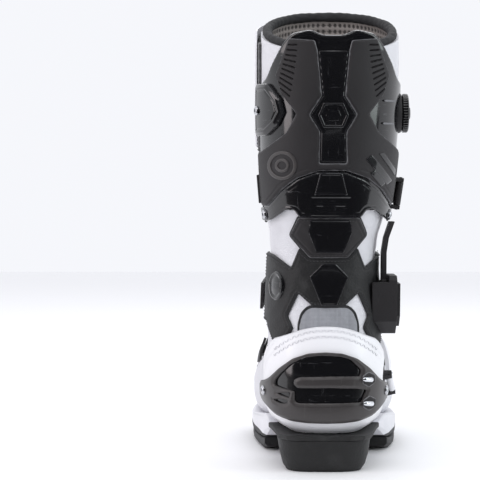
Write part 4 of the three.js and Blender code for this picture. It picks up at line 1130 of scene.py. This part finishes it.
def circle(middle, radius):
    turn = np.linspace(0, 2 * math.pi, 72, endpoint=False)
    return np.stack([middle[0] + radius * np.cos(turn), middle[1] + radius * np.sin(turn)], 1)


def makeMark(name, finish, outline, hole=None):
    flat = [backMap.fromBehind(o, 76, 6, step=3) for o in ([outline] if hole is None else [outline, hole])]
    mesh = plateMesh(name, backMap, flat[0], marks["low"], marks["wall"], 0.35, None, flat[1:], 0.42)
    piece(name, mesh, finish, "cuff", (), 38)


for k, (outer, inner) in enumerate(marks["rings"]):
    makeMark(f"innerRing{k}", plasticSatin, circle(marks["ring"], outer), circle(marks["ring"], inner))
for k, bar in enumerate(marks["bars"]):
    makeMark(f"outerBar{k}", plasticGloss, rounded(bar, 0.8))


brace = {
    "centre": 5, "low": 3.2, "wall": 2.5,
    "outline": [(0, 241.6), (11.3, 241.3), (28, 235.4), (40, 226), (51, 212.8), (80, 212.8), (80, 202),
                (49, 202),
                (37, 211), (29.5, 211), (25.5, 205.4), (0, 205.4)],
    "tab": [(0, 240.8), (9, 240.8), (13.4, 223.4), (0, 223.4)], "tabLow": 3.7, "tabWall": 3.2,
    "screws": [("brace_screw_inner", 3.6, 2.0), ("brace_screw_outer", 3.6, 2.0), ("clamp_screw", 3.7, 2.0)],
}


def braceRelief(flat, inset, spot):
    # A hollow below the tab with two fine ribs, and a shallow step along the arms
    x, z = spot[:, 0] - brace["centre"], spot[:, 2]
    below = (np.abs(x) < 15) * smooth(223.5, 222, z)
    ribs = np.exp(-((z - 216.5) / 0.6) ** 2) + np.exp(-((z - 211.5) / 0.6) ** 2)
    arms = smooth(16, 18, np.abs(x)) * np.exp(-((inset - 3.4) / 0.5) ** 2)
    return -0.7 * below * smooth(1.5, 2.5, inset) + below * 0.55 * ribs * (np.abs(x) < 11) - 0.35 * arms


def tabRelief(flat, inset, spot):
    z = spot[:, 2]
    return -0.5 * smooth(1.2, 1.9, inset) + 0.25 * smooth(227, 224.5, z)


rearPlate("heelBrace", brace["outline"], brace["centre"], brace["low"], brace["wall"], plasticGloss, "cuff",
          ("achilles_brace",), 1.6, 1.0, braceRelief)
rearPlate("braceTab", brace["tab"], brace["centre"], brace["tabLow"] + 1.6, brace["tabWall"] - 1.6,
          plasticGloss,
          "cuff", (), 1.0, 0.6, tabRelief, pitch=0.45)


def nodeMiddle(node):
    low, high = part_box(node)
    return (np.array(low) + np.array(high)) / 2


def bootScrew(name, node, radius, height, body, base, washer=None):
    # A screw where the CAD's is, standing square to the leather
    middle = nodeMiddle(node)
    t, angle = nearestSpot(middle)
    out = skinNormal(t, angle)
    foot = raised(t, angle, base * mm)
    mesh = screwMesh(name, foot / mm, out, radius, height)
    piece(name, mesh, steelBright, body, (node,), 28)
    if washer:
        profile = [(radius * 0.7, -0.5), (washer, -0.5), (washer, 0.05), (washer - 0.3, 0.3),
                   (radius * 0.7, 0.35)]
        turned(name + "Washer", profile, foot, out, steelDark, body)


def nearestSpot(point):
    # The leather's section and angle nearest to a point: a coarse grid, then a finer one round the best
    ts, angles = np.linspace(0, lastSection, 160)[:, None], np.linspace(-math.pi, math.pi, 160)[None, :]
    for width in (1, 0.06, 0.004):
        away = np.linalg.norm(skin(ts, angles) - point, axis=-1)
        i, j = np.unravel_index(away.argmin(), away.shape)
        t, angle = ts[i, 0], angles[0, j]
        ts = np.clip(t + np.linspace(-1, 1, 80)[:, None] * width, 0, lastSection)
        angles = angle + np.linspace(-1, 1, 80)[None, :] * width * 0.5
    return t, angle


for node, radius, height in brace["screws"]:
    bootScrew(node.title().replace("_", ""), node, radius, height, "cuff", 7.9 if "clamp" in node else 5.9,
              None if "clamp" in node else 4.9)
print("brace made")


clampSettings = {"outline": [(-80, 313), (-47, 313), (-37, 300), (-34, 289), (-39, 279), (-48, 271),
                             (-80, 270)],
                 "low": 3.2, "wall": 4.6, "reach": 74}


def clampRelief(flat, inset, spot):
    # Bright faces stepped back from the edge
    return -0.9 * (1 - smooth(1.0, 3.2, inset)) - 0.5 * np.exp(-((inset - 5) / 0.7) ** 2)


clampOutline = backMap.fromBehind(rounded(clampSettings["outline"], 1.5), clampSettings["reach"], 7)
mesh = plateMesh("calfClamp", backMap, clampOutline, clampSettings["low"], clampSettings["wall"], 1.2,
                 clampRelief,
                 pitch=0.5)
piece("calfClamp", mesh, plasticGloss, "cuff", ("calf_clamp",), 25)
print("clamp made")


# Ankle armour: Achilles plate, hinged frame with its windows, grey pad and edge piping
ankle = {
    "plateCentre": 4, "insetCentre": 5, "frameCentre": 4, "frameInsetCentre": 4.3,
    "plate": [(0, 205), (25, 205), (32, 190.5), (15.5, 172.6), (0, 172.6)],
    "inset": [(0, 203.6), (16.5, 203.6), (17.9, 193), (11.5, 177), (0, 177)],
    "frame": [(0, 172), (15.2, 172), (24.4, 180.6), (31, 164.5), (46, 174.5), (80, 175.5), (80, 118),
              (50, 118),
              (42.5, 97), (38.5, 99), (29.5, 116), (34, 125.5), (25, 144), (13, 133.7), (0, 133.7)],
    "frameInset": [(0, 168), (5.4, 168), (16, 157.6), (6.6, 134.6), (0, 134.6)],
    "pad": [(0, 133.2), (16, 133.2), (21.5, 128), (24, 119), (24, 106), (0, 106)],
    "disc": (-37.5, 149, 12.0), "padSeams": (7.5, 15.5), "padSeamHalf": 1.2, "padGrowth": 0.02,
    "padPressure": 40.0, "padCap": 0.7, "padSteps": 20,
}


def softRelief(flat, inset, spot):
    # A padded, slightly creased skin: crowned edge, slow waves and a pulled-in middle
    x, z = spot[:, 0], spot[:, 2]
    crease = 0.22 * np.sin(x * 0.55 + 2 * np.sin(z * 0.13)) * np.sin(z * 0.31 + 1.5 * np.sin(x * 0.09))
    crown = 0.45 * smooth(0, 4, inset) - 0.5 * np.exp(-((inset - 3.4) / 0.6) ** 2)
    return crown + crease * smooth(2, 6, inset)


def glossInsetRelief(flat, inset, spot):
    return -0.3 * smooth(1.0, 1.8, inset)


_, achillesOutline = rearPlate("achillesPlate", ankle["plate"], ankle["plateCentre"], 1.5, 2.2, plasticMatte,
                               "achilles", ("achilles_plate",), 1.6, 1.0, softRelief, 60, pitch=0.6)
rearPlate("achillesInset", ankle["inset"], ankle["insetCentre"], 3.9, 1.1, plasticGloss, "achilles",
                            ("achilles_inset",), 1.2, 0.7, glossInsetRelief, 60, pitch=0.5)
_, frameOutline = rearPlate("ankleFrame", ankle["frame"], ankle["frameCentre"], 0.6, 2.2, rubberPad, "foot",
                            ("ankle_frame",), 1.8, 1.2, softRelief, 98, pitch=0.85)
rearPlate("frameInset", ankle["frameInset"], ankle["frameInsetCentre"], 3.1, 1.0, plasticGloss,
                                 "foot", ("frame_inset",), 1.2, 0.6, glossInsetRelief, 60, pitch=0.45)
print("ankle plates made")


def pipeAround(name, outline, offset, height, radius, finish, body, patch=None, flatness=0.8):
    # A piped edge that runs round an outline, offset outwards, resting at a height
    patch = patch or backMap
    line = inwards(outline, -offset * mm)
    path, normals = onBoot(patch, line, height, 1.6, True)
    grid = tubeLoop(path[:-1], normals[:-1], radius, flatness)
    mesh = gridMesh(name, np.concatenate([grid, grid[:1]]))
    return piece(name, weldedMesh(mesh), finish, body, (), 60)


def tubeLoop(path, normals, radius, flatness=1.0, sides=10):
    # A rounded cord that closes on itself
    ahead = unit(np.roll(path, -1, axis=0) - np.roll(path, 1, axis=0))
    side = unit(np.cross(ahead, normals))
    turn = np.linspace(0, 2 * math.pi, sides, endpoint=False)
    ring = np.cos(turn)[:, None] * side[:, None] + np.sin(turn)[:, None] * normals[:, None] * flatness
    return path[:, None] + ring * radius * mm



def seam(name, patch, line, height, body, finish=None, closed=False, length=2.0, gap=1.1, radius=0.3,
         zigzag=0.0):
    # A row of stitches along a line on the flat map
    path, normals = onBoot(patch, line, height, 1.0, closed)
    mesh = joined(name, stitchRow(path, normals, length, gap, radius, 0.1, zigzag))
    return piece(name, mesh, finish or threadWhite, body, (), 60)


pipeAround("achillesPiping", achillesOutline, 0.7, 1.3, 1.05, bindingBlack, "achilles")
seam("frameStitch", backMap, inwards(frameOutline, 2.0 * mm), 3.0, "foot", threadDark, True, 1.6, 1.2, 0.28)
seam("achillesStitch", backMap, inwards(achillesOutline, 2.1 * mm), 3.65, "achilles", threadDark, True, 1.6,
     1.2, 0.26)


def makeAnklePad():
    # The grey Achilles pad: a closed plate with sewn ribs pressed in, swelled a little between them as cloth
    outline = backMap.fromBehind(rounded(bothHalves(ankle["pad"], ankle["frameCentre"]), 3.0), 60, 1.7)

    def ribs(flat, inset, spot):
        x = spot[:, 0] - ankle["frameCentre"]
        lines = np.abs(x)[:, None] - np.array(ankle["padSeams"])
        sewn = groove(lines, ankle["padSeamHalf"], 0.7).sum(1)
        return 0.9 * smooth(0, 5, inset) + sewn * smooth(1, 4, inset)

    mesh = plateMesh("anklePad", backMap, outline, 0.5, 1.2, 1.0, ribs, pitch=1.1)
    across = np.abs(pointsOf(mesh)[:, 0] / mm - ankle["frameCentre"])
    sewn = sum(np.abs(across - seamAt) < ankle["padSeamHalf"] for seamAt in ankle["padSeams"]) > 0
    mesh = softened("anklePadSwell", mesh, sewn, ankle["padGrowth"], ankle["padPressure"], ankle["padCap"],
                    ankle["padSteps"])
    spots = pointsOf(mesh)
    addValue(mesh, "weaveU", (spots[:, 0] + spots[:, 2]) / 0.0021)
    addValue(mesh, "weaveV", (spots[:, 0] - spots[:, 2]) / 0.0021)
    pad = piece("anklePad", mesh, padGrey, "foot", ("achilles_pad",), 60)
    soft = pad.modifiers.new("soft", "SUBSURF")
    soft.levels = soft.render_levels = 1
    return outline


padOutline = makeAnklePad()
pipeAround("anklePadPiping", padOutline, 0.4, 0.9, 1.25, bindingBlack, "foot")


def makeDisc():
    # A shallow cap with a raised rim, seated on the frame
    x, z, radius = ankle["disc"]
    t, angle = backSpot(np.array([x]), np.array([z]), 98, 2.8)
    spot, out = raised(t, angle, np.array([2.8 * mm]))[0], skinNormal(t, angle)[0]
    profile = [(radius, -0.6), (radius - 0.2, 0.7), (radius - 0.9, 1.5), (radius - 1.9, 1.75),
               (radius - 2.6, 1.35),
               (radius - 4.2, 1.1), (radius - 4.9, 1.45), (1.0, 1.55)]
    turned("ankleDisc", profile, spot, out, plasticGloss, "foot", ("ankle_disc",), 80)


makeDisc()
refined("hingeArm", plasticMatte, "foot", ["hinge_arm"], 0.6)
refined("hingePin", steelDark, "foot", ["hinge_pin"], 0.3)
refined("hingeCover", plasticMatte, "foot", ["hinge_cover"], 1.2)
print("ankle made")


# Heel: white cup, gloss guard with its slots, reflectors and screws
heel = {
    "centre": 0.8,
    "cup": [(-70, 118.5), (-34, 118), (-15, 107), (5, 94), (22, 78), (36, 59), (47, 40), (47, 30.6),
            (-70, 30.6)],
    "guard": [(0, 98), (14, 97), (27, 92.5), (38, 84), (47, 74), (56, 67), (56, 57), (48, 50), (40, 44.5),
              (28, 41),
              (14, 39.8), (0, 39.5)],
    "holes": [[(-36, 80), (-28, 88), (-17.5, 93.5), (-3, 95.5), (13, 94.6), (22, 92.3), (31, 83.5),
               (30, 78.3),
               (5, 78.6), (-20, 77.8), (-24.6, 75.8), (-25.2, 71.8), (-22, 68.8), (5, 69.2), (25, 68.5),
               (35.8, 66.9),
               (33.3, 62), (31.3, 57), (-22, 56.6), (-24.8, 58.4), (-24.5, 66), (-33, 67.5), (-41, 69.5),
               (-40.5, 74),
               (-38, 77.5)],
              [(-39, 63.2), (-27.5, 65.2), (-29, 60.2)],
              [(-42, 57.4), (-36, 59), (-30, 58.4), (-30, 56), (-36, 55)]],
    "seats": [(36.6, 75.4), (37.2, 56.0)], "seatRadius": 6.3, "pegReach": (-6.0, 2.4), "pegRadius": 2.1,
    "cupLow": 2.0, "cupWall": 2.8, "linerLow": 5.4, "guardLow": 6.7, "guardWall": 2.8,
}


heelMap = Patch(0, 7.0, 12.6, 124)


def sideSpot(y, z, side, height):
    # The section and angle where a surface so high on the heel's side shows y and z (mm), by Newton steps
    # on both
    y, z = np.asarray(y, float) * mm, np.asarray(z, float) * mm
    lifted = lambda a, b: raised(a, b, np.full(a.shape, height * mm))
    t, angle = np.full(y.shape, 9.0), np.full(y.shape, side * math.radians(80))
    for _ in range(60):
        p = lifted(t, angle)
        byT, byAngle = (lifted(t + 0.04, angle) - p) / 0.04, (lifted(t, angle + 0.03) - p) / 0.03
        dy, dz = y - p[..., 1], z - p[..., 2]
        det = byT[..., 1] * byAngle[..., 2] - byT[..., 2] * byAngle[..., 1]
        det = np.where(np.abs(det) < 1e-6, 1e-6, det)
        stepT = (dy * byAngle[..., 2] - dz * byAngle[..., 1]) / det
        stepAngle = (byT[..., 1] * dz - byT[..., 2] * dy) / det
        t = np.clip(t + np.clip(stepT, -0.2, 0.2), 7.1, 12.2)
        angle = side * np.clip(side * (angle + np.clip(stepAngle, -0.1, 0.1)), math.radians(15),
                               math.radians(120))
    return t, angle


def levelSpot(angle, z, height):
    # The section where a surface so high behind or under the heel comes down to z (mm)
    t = np.full(angle.shape, 9.8)
    for _ in range(60):
        p = raised(t, angle, np.full(t.shape, height * mm))
        rise = (raised(t + 0.04, angle, np.full(t.shape, height * mm))[..., 2] - p[..., 2]) / 0.04
        t = np.clip(t + np.clip((z * mm - p[..., 2]) / np.minimum(rise, -0.004), -0.15, 0.15), 7.1, 11.6)
    return t


def cupOutlineFlat():
    # The cup's side-view edge on both sides, joined over the back of the heel and under it
    height = heel["cupLow"] + heel["cupWall"]
    edge = fine(heel["cup"][2:8], 2.0, closed=False)
    sides = [heelMap.flat(*sideSpot(edge[:, 0], edge[:, 1], side, height)) for side in (1, -1)]
    lastTurn = [sideSpot(edge[-1:, 0], edge[-1:, 1], side, height)[1][0] for side in (1, -1)]
    under = np.linspace(lastTurn[0], lastTurn[1], 70)[1:-1]
    bottom = heelMap.flat(levelSpot(under, heel["cup"][7][1], height), under)
    across = np.linspace(-26, 30, 29)
    over = heelMap.fromBehind(np.stack([across, 118 - 5.5 * (np.abs(across - 2) / 28) ** 2.2], 1), 80, height,
                              False, 3)
    return np.concatenate([sides[0], bottom, sides[1][::-1], over])


def cupRelief(flat, inset, spot):
    # A soft moulded edge, a faint step under the guard and two shallow seams near the top
    z = spot[:, 2]
    seams = groove(inset - 3.6, 0.7, 0.35) + groove(inset - 8.4, 0.7, 0.35)
    return seams * smooth(60, 75, z) + 0.35 * np.exp(-((inset - 1.2) / 0.7) ** 2)


def heelPiece(name, outline, low, wall, finish, replaced, edge, relief, holes=(), pitch=0.7, crease=38):
    mesh = plateMesh(name, heelMap, outline, low, wall, edge, relief, holes, pitch)
    return piece(name, mesh, finish, "foot", replaced, crease)


cupOutline = cupOutlineFlat()
heelPiece("heelCup", cupOutline, heel["cupLow"], heel["cupWall"], plasticWhite, ("heel_cup",), 1.2, cupRelief,
          (), 0.95)
for drop, label in ((3.6, "Upper"), (8.4, "Lower")):
    across = np.linspace(-40, 44, 43)
    line = np.stack([across, 118 - drop - 17.0 * (np.abs(across - 2) / 42) ** 2.3], 1)
    seam("cupStitch" + label, heelMap, heelMap.fromBehind(line, 80, 4.8, False, 3), 4.7, "foot", threadWhite,
         False,
         2.0, 0.5, 0.27, 2.2)

guardTop = heel["guardLow"] + heel["guardWall"]
guardOutline = heelMap.fromBehind(rounded(bothHalves(heel["guard"], heel["centre"]), 2.5), 86, guardTop)
guardHoles = [heelMap.fromBehind(rounded(hole, 1.6), 86, guardTop) for hole in heel["holes"]]


def guardRelief(flat, inset, spot):
    # A bevel round the rim and the openings, and a dished corner at the inner lower end
    x, z = spot[:, 0], spot[:, 2]
    dish = np.exp(-(((x + 43) / 7) ** 2) - ((z - 52) / 5) ** 2)
    return -0.9 * (1 - smooth(0.4, 2.6, inset)) - 0.9 * dish


heelPiece("heelGuard", guardOutline, heel["guardLow"], heel["guardWall"], plasticSatin, ("heel_guard",), 0.6,
          guardRelief, guardHoles, 0.5)


def linerRelief(flat, inset, spot):
    # The floor behind the slots: a centre seam, two ribs and small drilled holes at the inner end
    x, z = spot[:, 0] - heel["centre"], spot[:, 2]
    lower = (z < 70) * (z > 55)
    pins = groove(np.hypot(x + 39, z - 73.2), 1.0, 0.6) + groove(np.hypot(x + 38.4, z - 69.4), 1.0, 0.6)
    return 0.45 * np.exp(-((x / 0.35) ** 2)) * lower + pins


linerOutline = inwards(guardOutline, 2.0 * mm)
linerOutline = fine(rounded(linerOutline / mm, 0.5), 2.0) * mm
heelPiece("heelLiner", linerOutline, heel["linerLow"], 0.9, plasticGloss, ("heel_liner",), 0.2, linerRelief,
          (), 0.7)

for label, (x, z) in zip(("Upper", "Lower"), heel["seats"]):
    turns = np.radians(np.arange(6) * 60 + 30)
    hexagon = np.stack([x + heel["seatRadius"] * np.cos(turns), z + heel["seatRadius"] * np.sin(turns)], 1)
    hexagon = heelMap.fromBehind(rounded(hexagon, 1.2), 86, guardTop + 0.8)
    heelPiece("reflectorSeat" + label, hexagon, guardTop, 0.7, plasticMatte, (), 0.3,
              lambda flat, inset, spot: -0.4 * smooth(1.6, 2.0, inset), (), 0.45)
    ends = np.array([[x + heel["pegReach"][0], z + 0.8], [x + heel["pegReach"][1], z - 0.4]])
    path, out = onBoot(heelMap, heelMap.fromBehind(ends, 86, guardTop + 2, False), guardTop + 2.2, 0.8)
    peg = joined("reflector" + label, [tube(path, heel["pegRadius"] * mm, out[len(out) // 2], 20)])
    piece("reflector" + label, peg, silverBright, "foot", ("heel_reflector_" + label.lower(),), 40)
for node in ("heel_screw_inner", "heel_screw_outer"):
    bootScrew(node.title().replace("_", ""), node, 3.9, 2.1, "foot", 9.3)
print("heel made")


# Shin, gaiter and toe pieces on the front map
front = {
    "shin": [(1.15, 112), (5.1, 112), (5.1, 194), (1.15, 194)],
    "shinInsert": [(1.8, 140), (3.9, 140), (3.9, 182), (1.8, 182)],
    "grip": [(3.95, 210), (5.4, 210), (5.4, 279), (3.95, 279)],
    "flap": [(1.15, 197), (3.8, 197), (3.8, 268), (1.15, 268)],
    "facing": [(0.95, 206), (3.7, 206), (3.7, 268), (0.95, 268)],
    "flex": [(13.6, 128), (15.7, 128), (15.7, 232), (13.6, 232)],
    "instep": [(8.6, 122), (13.4, 122), (13.4, 238), (8.6, 238)],
}


def frontPlate(name, spots, low, wall, finish, body, replaced, radius=5.0, edge=1.0, relief=None, pitch=0.9):
    outline = frontMap.fromSpots(spots, radius)
    mesh = plateMesh(name, frontMap, outline, low, wall, edge, relief, (), pitch)
    return piece(name, mesh, finish, body, replaced, 38), outline


def shinRelief(flat, inset, spot):
    # Two long ribs down the shin and a stepped border
    ribs = groove(flat[:, 0] + 22, 2.2, 0.7) + groove(flat[:, 0] - 6, 2.2, 0.7)
    return ribs * smooth(6, 10, inset) - 0.5 * (1 - smooth(2.6, 3.4, inset))


def insertRelief(flat, inset, spot):
    rows = np.sin(flat[:, 1] * 2 * math.pi / 5.5)
    return 0.35 * smooth(-0.2, 0.5, rows) * smooth(2.5, 3.4, inset) - 0.4


def gripRelief(flat, inset, spot):
    # Crossing channels leave raised lozenges
    a, b = (flat[:, 0] + flat[:, 1]) / 7.0, (flat[:, 0] - flat[:, 1]) / 7.0
    cut = np.minimum(np.abs(np.sin(math.pi * a)), np.abs(np.sin(math.pi * b)))
    return -0.8 * (1 - smooth(0.12, 0.4, cut)) * smooth(2, 3, inset)


def flexRelief(flat, inset, spot):
    rows = np.sin(flat[:, 1] * 2 * math.pi / 6.0)
    return -0.7 * smooth(-0.1, 0.8, -rows) * smooth(2, 3.5, inset)


def instepRelief(flat, inset, spot):
    # Stacked ribs across the instep so that it can bend
    rows = np.cos(flat[:, 1] * 2 * math.pi / 14.0)
    return -1.1 * smooth(0.72, 0.97, rows) * smooth(1.5, 3.5,
                                                    inset) - 0.4 * np.exp(-((inset - 4.5) / 0.7) ** 2)


def facingRelief(flat, inset, spot):
    # A stepped border round a field of long shallow flutes
    flutes = np.abs(np.sin(flat[:, 0] * math.pi / 9.0)) ** 0.8
    return -0.5 * smooth(3.0, 3.8, inset) + 0.45 * flutes * smooth(4.5, 7.0, inset)


def padRelief(flat, inset, spot):
    return 0.35 * smooth(0, 5, inset) - 0.45 * np.exp(-((inset - 3.2) / 0.6) ** 2)


frontPlate("shinPlate", front["shin"], 0.4, 2.8, plasticWhite, "cuff", ("shin_plate",), 12, 1.4, shinRelief)
frontPlate("shinInsert", front["shinInsert"], 3.2, 1.8, plasticMatte, "cuff", ("shin_insert",), 6, 0.7,
           insertRelief, 0.6)
frontPlate("gripPanel", front["grip"], 0.4, 2.0, rubberBlack, "cuff", ("grip_panel",), 8, 0.8, gripRelief,
           0.7)
_, flapOutline = frontPlate("closureFlap", front["flap"], 0.4, 2.6, rubberPad, "cuff", ("closure_flap",), 6,
                            1.0, padRelief)
frontPlate("flapFacing", front["facing"], 3.4, 2.0, plasticWhite, "cuff", ("flap_facing",), 8, 0.9,
           facingRelief)
frontPlate("toeFlexPanel", front["flex"], 0.4, 1.8, rubberBlack, "foot", ("toe_flex_panel",), 5, 0.7,
           flexRelief, 0.7)
frontPlate("instepGuard", front["instep"], 1.0, 2.0, plasticMatte, "foot", ("instep_guard",), 9, 1.0,
           instepRelief)
seam("flapStitch", frontMap, inwards(flapOutline, 1.9 * mm), 2.95, "cuff", threadDark, True, 1.8, 1.2, 0.28)
print("front plates made")


# Toe cap: a closed bowl over the toe, with a raised scuff band
toe = {"t": (15.9, 19.0), "low": 0.4, "high": 2.8, "rows": 90, "around": 200}


def makeToeCap():
    t = np.linspace(*toe["t"], toe["rows"])[:, None]
    angle = np.linspace(0, 2 * math.pi, toe["around"], endpoint=False)[None, :]
    band = smooth(16.5, 16.6, t) * (1 - smooth(17.3, 17.4, t)) * 0.5 * np.ones_like(angle)
    rim = np.sqrt(np.clip(1 - (1 - smooth(0, 0.12, t - toe["t"][0]) * np.ones_like(angle)) ** 2, 0, 1))
    outside = raised(t, angle, (toe["low"] + (toe["high"] - toe["low"]) * (0.35 + 0.65 * rim) + band) * mm)
    inside = raised(t, angle, np.full(band.shape, toe["low"] * mm))
    mesh = gridMesh("toeCap", np.concatenate([inside[::-1], outside]), capStart=True, capEnd=True)
    thing = piece("toeCap", mesh, plasticWhite, "foot", ("toe_cap",), 45)
    return thing


makeToeCap()


# Hook strip beside the closure on the inner side
strip = {"hook": [(1.2, 269.5), (4.3, 269.5), (4.3, 276.5), (1.2, 276.5)]}
sideMap = Patch(270, 0.2, 6.0, 60)


def sidePlate(name, spots, low, wall, finish, body, edge=0.6, relief=None, pitch=0.6, radius=1.5,
              replaced=()):
    outline = sideMap.fromSpots(spots, radius)
    mesh = plateMesh(name, sideMap, outline, low, wall, edge, relief, (), pitch)
    return piece(name, mesh, finish, body, replaced, 38)


sidePlate("hookStrip", strip["hook"], 0.05, 2.4, hookBlack, "cuff", 0.9)
print("toe and side strips made")


# Tension dial with its laces
dial = {"centre": (58.0, 6.0, 290.0), "ribs": 40, "laceRadius": 0.8}


def knurl(r, h, turn):
    # Rounded ribs round the knob's side only
    side = smooth(0.0155, 0.0160, r) * smooth(0.0655 - 0.058, 0.0665 - 0.058,
                                              h) * (1 - smooth(0.0115, 0.0124, h))
    return r - side * 0.00055 * (1 - np.abs(np.sin(turn * dial["ribs"] / 2)) ** 0.6)


def makeDial():
    centre = np.array(dial["centre"]) * mm
    base = [(12, 0.0), (17.5, 0.0), (17.5, 0.8), (17.0, 1.6), (16.6, 3.0), (16.2, 5.4), (15.6, 6.6),
            (14.5, 7.0), (3, 7.0)]
    turned("dialBase", base, centre, (1, 0, 0), plasticMatte, "cuff", ("dial_base",), 120)
    knob = [(6.0, 7.3), (15.2, 7.3), (15.9, 7.8), (16.0, 8.4), (16.0, 9.4), (16.0, 10.4), (16.0, 11.2),
            (15.6, 11.9),
            (14.6, 12.5), (12.8, 12.7), (11.9, 12.2), (7.4, 12.2), (6.6, 12.6), (5.6, 12.6), (5.3, 11.4),
            (5.3, 7.4)]
    turned("dialKnob", knob, centre, (1, 0, 0), plasticGloss, "dial_knob", ("dial_knob",), 240, knurl)
    button = [(5.0, 10.6), (5.0, 13.2), (4.7, 13.9), (4.0, 14.2), (2.6, 14.0), (1.0, 13.9)]
    turned("dialButton", button, centre, (1, 0, 0), plasticMatte, "dial_button", ("dial_button",), 64)


def makeLace(name, node, z):
    # A round lace along the shell from the dial's edge to the plate
    turns = np.radians(np.linspace(41, 57, 24))
    t = np.full(turns.shape, 3.0)
    for _ in range(30):
        p = skin(t, turns)
        t = t + np.clip((z * mm - p[:, 2]) / -0.03, -0.4, 0.4)
    path = raised(t, turns, np.full(turns.shape, 4.1 * mm))
    grid = tube(path, dial["laceRadius"] * mm, skinNormal(t, turns)[12], 12)
    piece(name, joined(name, [grid]), laceDark, "cuff", (node,), 60)


laceDark = weave("laceBraid", (0.05, 0.05, 0.055), (0.25, 0.25, 0.27), "steel", 1.0, depth=0.0001)
makeDial()
makeLace("dialLaceUpper", "dial_lace_upper", 299)
makeLace("dialLaceLower", "dial_lace_lower", 281)
print("dial made")


# Straps and buckles
buckles = {
    "shin": {"centre": 4.62, "hinge": 88, "width": 26, "end": 246, "low": 3.5, "body": "cuff"},
    "ankle": {"centre": 7.95, "hinge": 100, "width": 24, "end": 250, "low": 3.4, "body": "foot"},
    "instep": {"centre": 11.6, "hinge": 84, "width": 24, "end": 258, "low": 3.4, "body": "foot"},
    "teeth": 3.2, "weave": 1.3,
}


def makeStrap(name, centre, width, hinge, end, low, body):
    # A toothed strap of constant width: rounded section swept round the leather, ridges across it near the
    # buckle
    columns, across = 360, 21
    turn = np.radians(np.linspace(hinge + 9, end, columns))
    perSection = np.linalg.norm(skin(centre + 0.1, turn) - skin(centre - 0.1, turn), axis=1) / 0.2
    half = (width - 8) / 2 * mm
    share = np.linspace(-1, 1, across)
    path = skin(np.full(columns, centre), turn)
    run = np.concatenate([[0], np.cumsum(np.linalg.norm(np.diff(path, axis=0), axis=1))]) / mm
    rounding = 0.55 * (1 - np.clip(1 - (1 - np.abs(share)) * 9 * 0.9, 0, 1) ** 2)
    toothed = (1 - smooth(run[-1] * 0.42, run[-1] * 0.46, run))[:, None] * smooth(0.72, 0.62,
        np.abs(share))[None, :]
    ridge = (run / buckles["teeth"] % 1)[:, None] * 0.7 * toothed
    rib = -0.35 * np.exp(-((np.abs(share) - 0.80) / 0.06) ** 2)
    top = low + 1.45 + rounding + rib + ridge - 0.35 * toothed
    t = centre + share[None, :] * (half / perSection)[:, None]
    over = raised(t, turn[:, None], top * mm)
    under = raised(t[:, ::-1], turn[:, None], np.full((columns, across), low * mm))
    mesh = gridMesh(name, np.concatenate([over, under], axis=1), capStart=True, capEnd=True, flip=True)
    extra = np.zeros(2)
    u = np.concatenate([np.repeat(run[:, None], 2 * across, axis=1).ravel() / buckles["weave"], extra])
    span = np.concatenate([share, share[::-1]]) * half / mm / buckles["weave"]
    addValue(mesh, "weaveU", u)
    addValue(mesh, "weaveV", np.concatenate([np.repeat(span[None, :], columns, axis=0).ravel(), extra]))
    return piece(name, weldedMesh(mesh), strapBlack, body, (name.replace("Strap", "_strap"),), 50)


strapBlack = rubberFinish("strapRubber", (0.016, 0.016, 0.017), "webbing", 1100, 0.0002)
for key in ("shin", "ankle", "instep"):
    b = buckles[key]
    makeStrap(key + "Strap", b["centre"], b["width"], b["hinge"], b["end"], b["low"], b["body"])
    refined(key + "Base", plasticMatte, b["body"], [key + "_base"], 0.35)
    refined(key + "Anchor", plasticMatte, b["body"], [key + "_anchor"], 0.6)
    refined(key + "Lever", plasticWhite if key != "shin" else plasticMatte, key + "_lever", [key + "_lever"],
            0.7)
print("straps and buckles made")


# Sole: heel block, midsole, forefoot tread, shank and insole
def weltFinish():
    # Black rubber under the heel and along the ground, white welt above it along the foot
    f = Finish("soleWelt", "rubber")
    parts = f.tree.nodes.new("ShaderNodeSeparateXYZ")
    f.tree.links.new(f.place.link, parts.inputs[0])
    white = f.between(Socket(f, parts.outputs[1]), 0.0395, 0.0405) * f.between(Socket(f, parts.outputs[2]),
        0.0152, 0.0158)
    dust = f.between(f.noise(80, 6), 0.45, 0.8)
    specks = f.cells(520)
    black = f.mix(dust * 0.3, (0.010, 0.010, 0.0105), (0.06, 0.06, 0.06))
    pale = f.mix(dust * 0.3, finishes["white"], finishes["whiteShade"])
    return f.surface(Base_Color=f.mix(white, black, pale), Roughness=0.62 - 0.2 * white,
                     Normal=f.bump(specks, 0.0003, 0.4))


soleFinish = rubberFinish("soleRubber", (0.010, 0.010, 0.0105), "rubber", 520, 0.0004)
refined("heelBlock", soleFinish, "foot", ["heel_block"], 1.2)
refined("midsole", weltFinish(), "foot", ["midsole"], 0.9)
refined("forefootTread", soleFinish, "foot", ["forefoot_tread"], 0.7)
refined("shank", steelDark, "foot", ["shank"], 0.0)
refined("insole", insoleFelt, "foot", ["insole"], 0.6)
print("sole made")
